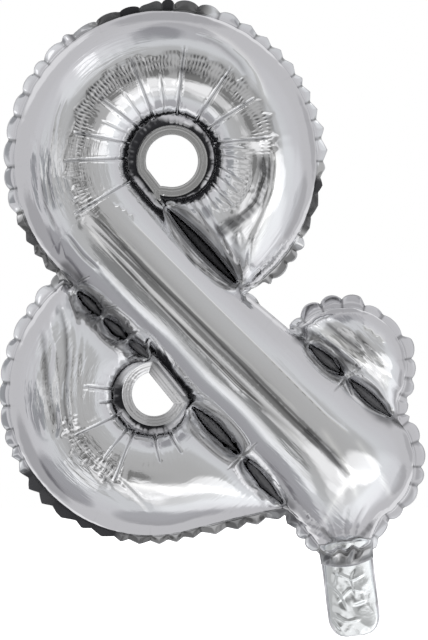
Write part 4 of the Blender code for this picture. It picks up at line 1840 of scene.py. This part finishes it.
@dataclass
class Brim:
    """A sealed brim swept along a weld: a flat flange, or one scalloped into lobes."""

    name: str
    path: Array
    normals: Array
    width: float
    rise: float
    # phase, lean, broad, dark (the painted shade) and sharp at each point of the path
    notes: dict
    rows: int = 9
    inner: float = 0.15 * MM
    wave: float = 1.0
    ridges: float = 0.0
    arch: float = 0.0

    sockets = {
        "Weld": TreeInput.GEOMETRY, "Width": TreeInput.NUMBER, "Rise": TreeInput.NUMBER,
        "Ridges": TreeInput.NUMBER, "Arch": TreeInput.NUMBER, "Rows": TreeInput.WHOLE,
        "Film": TreeInput.MATERIAL,
    }
    thickness = 0.25 * MM

    def profile(self, graph: Graph, rows: Term) -> Term:
        """The cross line that is swept, with the reach from 0 to 1 noted along it.

        Args:
            graph: the tree.
            rows: how many points it has.

        Returns:
            The line.
        """
        line = graph.out(graph.node("GeometryNodeCurvePrimitiveLine", sockets={"End": (1 * MM, 0, 0)}))
        line = graph.out(graph.node("GeometryNodeResampleCurve", sockets={"Curve": line, "Count": rows}))
        factor = graph.out(graph.node("GeometryNodeSplineParameter"), "Factor")
        return graph.out(graph.node(
            "GeometryNodeStoreNamedAttribute",
            {"data_type": "FLOAT", "domain": "POINT"},
            {"Geometry": line, "Name": "reach", "Value": factor},
        ))

    def tree(self) -> bpy.types.GeometryNodeTree:
        """The tree that sweeps a cross line along the weld and lobes its edge.

        Returns:
            The tree.
        """
        tree = bpy.data.node_groups.new(self.name + "_sweep", "GeometryNodeTree")
        for name, kind in self.sockets.items():
            tree.interface.new_socket(name, in_out="INPUT", socket_type=kind.value)
        tree.interface.new_socket("Brim", in_out="OUTPUT", socket_type=TreeInput.GEOMETRY.value)
        graph = Graph(tree)
        group = graph.node("NodeGroupInput")
        weld, base, rise, ridges, arch, rows, film = (graph.out(group, name) for name in self.sockets)
        rail = graph.out(graph.node("GeometryNodeMeshToCurve", sockets={"Mesh": weld}))
        profile = self.profile(graph, rows)
        swept = graph.node("GeometryNodeCurveToMesh", sockets={"Curve": rail, "Profile Curve": profile})
        reach, phase, lean, broad, sharp = (
            graph.noted(name) for name in ("reach", "phase", "lean", "broad", "sharp")
        )
        lobe = graph.maths("SQRT", graph.maths("ABSOLUTE", graph.maths("SINE", phase * math.pi)))
        tooth = 1 - graph.maths("ABSOLUTE", graph.maths("FRACT", phase) * 2 - 1)
        lobe = lobe + (tooth - lobe) * sharp
        width = (base + rise * lobe) * broad
        cup = width * reach ** 0.6 * lean
        fold = (1 - lobe) * reach * rise * -0.25
        ridge = graph.maths("SINE", reach * (7 * math.pi)) * ridges
        depth = cup + fold + ridge - graph.maths("SINE", reach * math.pi) * arch
        out = graph.scaled(graph.noted("outward", "FLOAT_VECTOR"), reach * width)
        place = graph.vector("ADD", graph.noted("seat", "FLOAT_VECTOR"), out)
        lift = graph.out(graph.node("ShaderNodeCombineXYZ", sockets={"Y": depth}))
        moved = graph.node("GeometryNodeSetPosition", sockets={
            "Geometry": graph.out(swept), "Position": graph.vector("ADD", place, lift),
        })
        soft = graph.node("GeometryNodeSetShadeSmooth", sockets={0: graph.out(moved), "Shade Smooth": True})
        real = graph.node("GeometryNodeRealizeInstances", sockets={0: graph.out(soft)})
        done = graph.node("GeometryNodeSetMaterial", sockets={"Geometry": graph.out(real), "Material": film})
        graph.node("NodeGroupOutput", sockets={"Brim": graph.out(done)})
        return tree

    def build(self, finish: Finishes) -> None:
        """Sweep the brim, thicken it and dress it.

        Args:
            finish: its look.
        """
        count = len(self.path)
        seat = self.path - self.normals * self.inner
        seats = np.stack([seat[:, 0], RimPattern.wave(self.notes["phase"]) * self.wave, seat[:, 1]], axis=1)
        aim = np.stack([self.normals[:, 0], np.zeros(count), self.normals[:, 1]], axis=1)
        mesh = bpy.data.meshes.new(self.name + "_brim")
        mesh.from_pydata([tuple(p) for p in seats], [(i, (i + 1) % count) for i in range(count)], [])
        noted(mesh, seat=seats, outward=aim, **self.notes)
        thing = linked(self.name + "_brim", mesh)
        sweep = thing.modifiers.new("Sweep", "NODES")
        sweep.node_group = self.tree()
        given = {s.name: s.identifier for s in sweep.node_group.interface.items_tree if s.in_out == "INPUT"}
        for name, value in (
            ("Width", self.width), ("Rise", self.rise), ("Ridges", self.ridges), ("Arch", self.arch),
            ("Rows", self.rows), ("Film", finish.material),
        ):
            sweep[given[name]] = value
        dressed(thickened(thing, self.thickness, 0), finish, "weld_film", self.name)


@dataclass
class SlitWeld:
    """The crimped weld lens at the bottom of a slit between two strokes."""

    name: str
    path: Array
    finish: Finishes
    seed: int
    lap: float = 0.5 * MM
    step: float = 1.0 * MM
    thickness: float = 0.3 * MM
    crimp: float = 0.10 * MM
    crimp_length: float = 9 * MM

    def build(self) -> None:
        """Fill the lens with a crimped plate."""
        wide = self.path + outward(self.path, 1) * self.lap
        grid = lattice(wide.min(axis=0), wide.max(axis=0), self.step)
        grid = grid[inside(grid, self.path)]
        grid = grid[nearest(grid, wide)[1] > 0.7 * self.step] if len(grid) else grid
        points, faces = triangulate(grid, [wide])
        faces = faces[inside(points[faces].mean(axis=1), wide)]
        noise = Noise(self.seed)
        span = wide[len(wide) // 2] - wide[0]
        along = points @ (span / np.linalg.norm(span)) / self.crimp_length
        crimp = self.crimp * noise(along, 0 * along) + self.crimp * noise(*(points / self.crimp_length).T)
        front, back = (
            np.stack([points[:, 0], crimp + half, points[:, 1]], axis=1)
            for half in (-self.thickness / 2, self.thickness / 2)
        )
        count = len(points)
        rim = np.arange(len(wide))
        after = (rim + 1) % len(wide)
        sides = [np.stack([rim, rim + count, after + count], 1), np.stack([rim, after + count, after], 1)]
        thing = mesh_object(self.name + "_plate", np.concatenate([front, back]),
                            np.concatenate([faces, faces[:, ::-1] + count, *sides]))
        dressed(thing, self.finish, "weld_film", self.name)


@dataclass
class Neck:
    """The filling neck: two crumpled plies, a weld down each side and a fold across the root."""

    width: float = NECK_WIDTH
    length: float = NECK_LENGTH
    weld: float = 3.4 * MM
    bulge: float = 5.0 * MM
    round_end: float = 13.0 * MM
    columns: int = 56
    rows: int = 96
    lap: float = 1.0 * MM
    gap: float = 0.25 * MM
    # the share of its bulge that the neck has lost at its end
    thinning: float = 0.85
    fold_drop: float = 11.0 * MM
    fold_sag: float = 3.5 * MM
    fold_stand: float = 4.2 * MM
    # how dark the fold's painted shade gets
    fold_dark: float = 0.86

    ply_thickness, weld_thickness, fold_thickness = 0.12 * MM, 0.3 * MM, 0.5 * MM
    # heights of the plies' broad and small facets and fine crush, and how far they lie inwards
    broad_height, small_height, fine_height, facet_sink = 0.30 * MM, 0.20 * MM, 0.06 * MM, 0.3 * MM
    ply_seed, weld_seed, fold_seed = 31, 50, 77
    least_depth = 0.2 * MM
    # how far the side welds wave about their line, and flare at their outer edge
    weld_wave, weld_flare = 0.5 * MM, 1.1 * MM
    creases = pressed(
        (330, 570, 352, 580, 366, 572), (336, 604, 350, 588, 366, 592), (332, 612, 346, 622, 362, 618),
        width=0.7, height=0.45, profile=Profile.RIDGE,
    ) + pressed(
        (324, 580, 340, 594, 348, 612), (356, 566, 350, 578, 356, 600), (338, 566, 334, 590),
        (352, 606, 368, 600), (330, 618, 342, 632),
        width=0.9, height=0.4, profile=Profile.FOLD,
    )

    def half_width(self, along: Array) -> Array:
        """Half the neck's width at each distance down it."""
        share = np.clip(1 - (self.length - along) / self.round_end, 0, 1)
        return self.width / 2 - self.round_end * 0.8 * (1 - np.sqrt(1 - share * share))

    def grid(self, edges: tuple, columns: int, rows: int, start: float = 0.0) -> tuple:
        """A grid on the neck's plane.

        Args:
            edges: the two sides, as shares of the half width.
            columns: cells across.
            rows: cells down.
            start: how far down the first row lies.

        Returns:
            The places, the shares across and down, and the quads.
        """
        along = np.repeat(np.linspace(start, self.length, rows + 1), columns + 1)
        across = np.tile(np.linspace(*edges, columns + 1), rows + 1)
        x, z = neck_place(across * self.half_width(along), along)
        return np.stack([x, z], axis=1), across, along / self.length, quad_grid(columns, rows)

    def facets(self, places: Array, seed: int) -> Array:
        """Broad facets with sharp ridges between them, as in crushed film, calmer beside the right weld.

        Args:
            places: X and Z of the places.
            seed: the fixed seed of their pattern.

        Returns:
            The move outward in metres.
        """
        noise = Noise(seed)
        x, z = places[:, 0], places[:, 1]
        broad = abs(noise((x + z) / (15 * MM), (x - z) / (28 * MM)))
        small = abs(noise((x - 0.6 * z) / (7 * MM) + 7, (z + 0.6 * x) / (13 * MM) + 3))
        fine = noise((x + 0.5 * z) / (2.6 * MM), (z - 0.5 * x) / (5.5 * MM))
        calm = 0.35 + 0.65 * ease(-4 * MM, 9 * MM, (NECK_ROOT[0] + 6 * MM) - x)
        crush = ((1 - small) * self.small_height + fine * self.fine_height) * calm
        return (1 - broad) * self.broad_height + crush - self.facet_sink

    def build_ply(self, name: str, side: int) -> None:
        """One ply of the neck.

        Args:
            name: the solid it stands for.
            side: -1 for the front, 1 for the back.
        """
        pocket = 1 - 0.25 * self.weld / (self.width / 2)
        places, across, down, quads = self.grid((-pocket, pocket), self.columns, self.rows, -self.lap)
        open_way = np.sqrt(np.clip(1 - (across / pocket) ** 2, 0, 1))
        depth = self.gap + self.bulge * open_way * (1 - self.thinning * down)
        held = np.clip(open_way * 1.8, 0, 1)
        crush = self.facets(places, self.ply_seed + side) * held
        if side < 0:
            crush += sum(crease.press(places)[0] for crease in self.creases) * held
        y = side * np.maximum(depth + crush, self.least_depth)
        points = np.stack([places[:, 0], y, places[:, 1]], axis=1)
        sheet = mesh_object(name + "_film", points, quads if side < 0 else quads[:, ::-1])
        dressed(thickened(sheet, self.ply_thickness, -1), Finishes.NECK, "silver_film", name)

    def build_weld(self, name: str, side: int) -> None:
        """The weld down one side, softly waved.

        Args:
            name: the solid it stands for.
            side: -1 for the left, 1 for the right.
        """
        inner = 1 - self.weld * 1.15 / (self.width / 2)
        edges = (inner, 1.0) if side > 0 else (-1.0, -inner)
        places, across, down, quads = self.grid(edges, 6, 80)
        outer = (abs(across) - inner) / (1 - inner)
        wave = self.weld_wave * Noise(self.weld_seed + side)(down * 9, outer * 0.8)
        y = wave + outer * self.weld_flare * np.sin(down * 14 + side)
        sheet = mesh_object(name + "_film", np.stack([places[:, 0], y, places[:, 1]], axis=1), quads)
        dressed(thickened(sheet, self.weld_thickness, 0), Finishes.WELD, "weld_film", name)

    def build_fold(self) -> None:
        """The fold of film across the root, with a crisp sagging lower edge and patchy painted shade across
        it.
        """
        columns, rows = 60, 14
        across = np.tile(np.linspace(-1, 1, columns + 1), rows + 1)
        down = np.repeat(np.linspace(0, 1, rows + 1), columns + 1)
        noise = Noise(self.fold_seed)
        lower = self.fold_drop + self.fold_sag * (1 - across ** 2)
        upper = -3.5 * MM + 2.5 * MM * noise(across * 4, 0 * down)
        half = self.width / 2 + 0.4 * MM + 1.8 * MM * (1 - down) ** 2
        x, z = neck_place(across * half, upper + down * (lower - upper))
        fold = 2.0 * MM * (1 - across ** 2) ** 0.5 + 1.5 * MM * noise(across * 3.4 + 1.5 * down, down * 1.6)
        stand = self.fold_stand * (1 - 0.5 * across ** 2) * ease(0, 0.5, down)
        y = -(stand + fold * np.sin(np.pi * down) + 0.4 * MM)
        # patchy painted shade down the fold, which the shaded finish mixes into its colour
        patch = np.clip(0.7 + 0.6 * noise(across * 3 + 3, down * 2), 0, 1)
        shade = self.fold_dark * hump(0.15, 0.5, 0.9, 1.0, down) * patch
        points = np.stack([x, y, z], axis=1)
        sheet = mesh_object("neck_root_fold_film", points, quad_grid(columns, rows), dark=shade)
        made = thickened(sheet, self.fold_thickness, -1)
        dressed(made, Finishes.SHADED, "silver_film", "neck_root_fold")

    def build(self) -> None:
        """Build every piece of the neck."""
        self.build_ply("neck_front_ply", -1)
        self.build_ply("neck_back_ply", 1)
        self.build_weld("neck_left_weld", -1)
        self.build_weld("neck_right_weld", 1)
        self.build_fold()


@dataclass
class Balloon:
    """The whole balloon from its weld plan."""

    plan: WeldPlan = field(default_factory=WeldPlan)

    def build(self) -> None:
        """Build and dress every piece."""
        rim = RimPattern(self.plan.outline)
        Film("front_panel", -1, self.plan, rim, 1.15 * MM, 0.75 * MM, 11).build()
        Film("back_panel", 1, self.plan, rim, 1.6 * MM, 1.1 * MM, 12).build()
        # the rim's dark is painted shade, which the outer brim's shaded finish mixes into its colour
        notes = {name: getattr(rim, name) for name in ("phase", "lean", "broad", "dark", "sharp")}
        brim = Brim("outer_rim", rim.outline, outward(rim.outline, 3), 3.4 * MM, 3.4 * MM, notes)
        brim.build(Finishes.SHADED)
        lower = self.plan.lower_eye
        # painted shade on the lower eye's ring where it runs along the long stroke
        under = 0.85 * ease(-62, -58, EyeGather.across_stroke(lower))
        self.ring("upper_eye_rim", self.plan.upper_eye, 0.06 * MM, 0.0, 0.0).build(Finishes.EYE_WELD)
        self.ring("lower_eye_rim", lower, 0.10 * MM, 0.16, under).build(Finishes.LOWER_WELD)
        for index, (name, path) in enumerate(self.plan.webs.items()):
            # both plate finishes are dark colours standing in for shade: painted shade
            finish = Finishes.DEEP_WELD if name == "upper_right_web" else Finishes.SLIT_WELD
            SlitWeld(name, path, finish, 60 + index).build()
        Neck().build()

    @staticmethod
    def ring(name: str, path: Array, arch: float, lean: float, dark: Array | float) -> Brim:
        """The flat ring inside an eye.

        Args:
            name: the solid it stands for.
            path: the eye's weld.
            arch: how far its middle stands out.
            lean: how far it leans, for each metre of its width.
            dark: how dark its painted shade is.

        Returns:
            The brim.
        """
        even = np.ones(len(path))
        notes = {
            "phase": even * 0.5, "lean": even * lean, "broad": even, "dark": even * dark, "sharp": even * 0,
        }
        return Brim(name, path, -outward(path, 4), 6.2 * MM, 0.3 * MM, notes, rows=24, wave=0.04,
                    ridges=0.02 * MM, arch=arch)


# The studio


@dataclass(frozen=True)
class Glow:
    """A soft patch of light or dark in the room, by direction."""

    right: float
    up: float
    radius: float
    soft: float
    light: float
    tint: tuple = (1.0, 1.0, 1.0)

    @property
    def aim(self) -> tuple[float, float, float]:
        """Unit vector towards the patch; 0, 0 is the camera's own direction."""
        right, up = math.radians(self.right), math.radians(self.up)
        return math.sin(right) * math.cos(up), -math.cos(right) * math.cos(up), math.sin(up)


@dataclass(frozen=True)
class Studio:
    """A pale room with soft boxes, a white floor and a long lens square to the balloon."""

    distance: float = 2.6
    sensor: float = 36.0
    floor: float = -260 * MM
    floor_radius: float = 3.0
    sides: int = 64
    darkest: tuple = (0.03, 0.03, 0.03)

    # degrees right and up of the camera, radius, softness and light of each patch
    glows = tuple(Glow(*row) for row in (
        (0, 0, 6, 3, -0.23), (3, -24, 12, 5, 0.34), (0, -40, 7, 5, 0.22), (20, -20, 8, 5, 0.40),
        (2, -19, 7, 5, 0.18), (38, -38, 20, 12, 0.22), (-14, -14, 5, 3, 0.22), (-23, 4, 7, 4, 0.20),
        (-4, 22, 8, 4, -0.20), (-26, -26, 4, 3, -0.26), (-38, -37, 6, 4, 0.30), (37, -10, 13, 5, 0.50),
        (58, -22, 22, 16, 0.14, (0.93, 0.98, 1.0)), (-52, 42, 11, 10, 0.12), (-56, 46, 5, 3, 0.45),
        (-42, 2, 5, 4, 0.30), (-63, -6, 9, 7, -0.34), (-76, -44, 14, 7, -0.26),
        (-110, -30, 16, 8, -0.18), (-10, 72, 8, 6, -0.18), (28, 78, 12, 6, -0.14),
        (96, -20, 12, 6, -0.14), (20, -80, 16, 6, -0.2), (180, -4, 8, 5, -0.26), (146, -24, 16, 6, 0.26),
        (205, -26, 12, 5, 0.30), (222, 30, 12, 6, 0.22), (160, 34, 9, 5, 0.24), (180, 62, 14, 8, -0.16),
        (128, 10, 10, 6, -0.12),
    ))
    # degrees from the camera's direction, the light there and its colour
    bands = (
        (180, 0.60, (0.99, 0.985, 1.01)), (130, 0.62, (0.99, 0.985, 1.01)), (95, 0.63, (0.99, 0.985, 1.01)),
        (75, 0.67, (0.99, 0.99, 1.02)), (55, 0.72, (0.98, 1.0, 1.02)), (46, 0.55, (0.99, 1.0, 1.0)),
        (18, 0.50, (1.0, 1.0, 0.99)), (0, 0.46, (1.0, 1.0, 0.99)),
    )

    def room(self) -> None:
        """Light the room by direction."""
        world = bpy.data.worlds.new("studio")
        bpy.context.scene.world = world
        world.use_nodes = True
        tree = world.node_tree
        tree.nodes.clear()
        graph = Graph(tree)
        way = graph.out(graph.node("ShaderNodeTexCoord"), "Generated")
        away = graph.vector("DOT_PRODUCT", way, (0, -1, 0), key="Value")
        colour = graph.scaled(self.bands[0][2], self.bands[0][1])
        for (low, _, _), (high, light, tint) in zip(self.bands, self.bands[1:]):
            share = graph.ramp(away, math.cos(math.radians(low)), math.cos(math.radians(high)))
            colour = graph.mixed(share, colour, tuple(light * t for t in tint))
        for glow in self.glows:
            near = graph.vector("DOT_PRODUCT", way, glow.aim, key="Value")
            inner = math.cos(math.radians(glow.radius))
            outer = math.cos(math.radians(glow.radius + glow.soft))
            lit = graph.scaled(tuple(glow.light * t for t in glow.tint), graph.ramp(near, outer, inner))
            colour = graph.vector("ADD", colour, lit)
        colour = graph.vector("MAXIMUM", colour, self.darkest)
        seen = graph.out(graph.node("ShaderNodeLightPath"), "Is Camera Ray")
        colour = graph.mixed(seen, colour, (1.0, 1.0, 1.0))
        shade = graph.node("ShaderNodeBackground", sockets={"Color": colour, "Strength": 1.0})
        graph.node("ShaderNodeOutputWorld", sockets={"Surface": graph.out(shade, "Background")})

    def ground(self) -> None:
        """The pale floor."""
        angles = np.linspace(0, 2 * math.pi, self.sides + 1)[:-1]
        radius = self.floor_radius
        around = [(radius * math.cos(a), radius * math.sin(a), self.floor) for a in angles]
        thing = mesh_object("floor", np.array([(0, 0, self.floor)] + around),
                            np.array([(0, 1 + i, 1 + (i + 1) % self.sides) for i in range(self.sides)]))
        paint = bpy.data.materials.new("pale_floor")
        paint.use_nodes = True
        shader = paint.node_tree.nodes["Principled BSDF"]
        shader.inputs["Base Color"].default_value = (0.9, 0.9, 0.9, 1)
        shader.inputs["Roughness"].default_value = 0.9
        shader.inputs["Emission Color"].default_value = (1, 1, 1, 1)
        shader.inputs["Emission Strength"].default_value = 1.0
        thing.data.materials.append(paint)
        thing.visible_glossy = False

    def camera(self) -> None:
        """The camera of the photo: level, square on, long lens."""
        lens = bpy.data.cameras.new("camera")
        lens.sensor_width = self.sensor
        lens.lens = self.sensor * self.distance / (FRAME_PIXELS[1] * PIXEL)
        lens.clip_end = 20
        thing = linked("camera", lens)
        thing.location = ((FRAME_PIXELS[0] / 2 - MIDDLE_PIXEL[0]) * PIXEL, -self.distance, 0)
        thing.rotation_euler = (math.pi / 2, 0, 0)
        bpy.context.scene.camera = thing
        bpy.context.scene.view_settings.view_transform = "Standard"

    def build(self) -> None:
        """Set up the light, the floor and the camera."""
        self.room()
        self.ground()
        self.camera()


def main() -> None:
    """Build the balloon and its studio."""
    logging.basicConfig(level=logging.INFO, format="%(message)s")
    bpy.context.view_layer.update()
    Balloon().build()
    Studio().build()


if __name__ == "__main__":
    main()
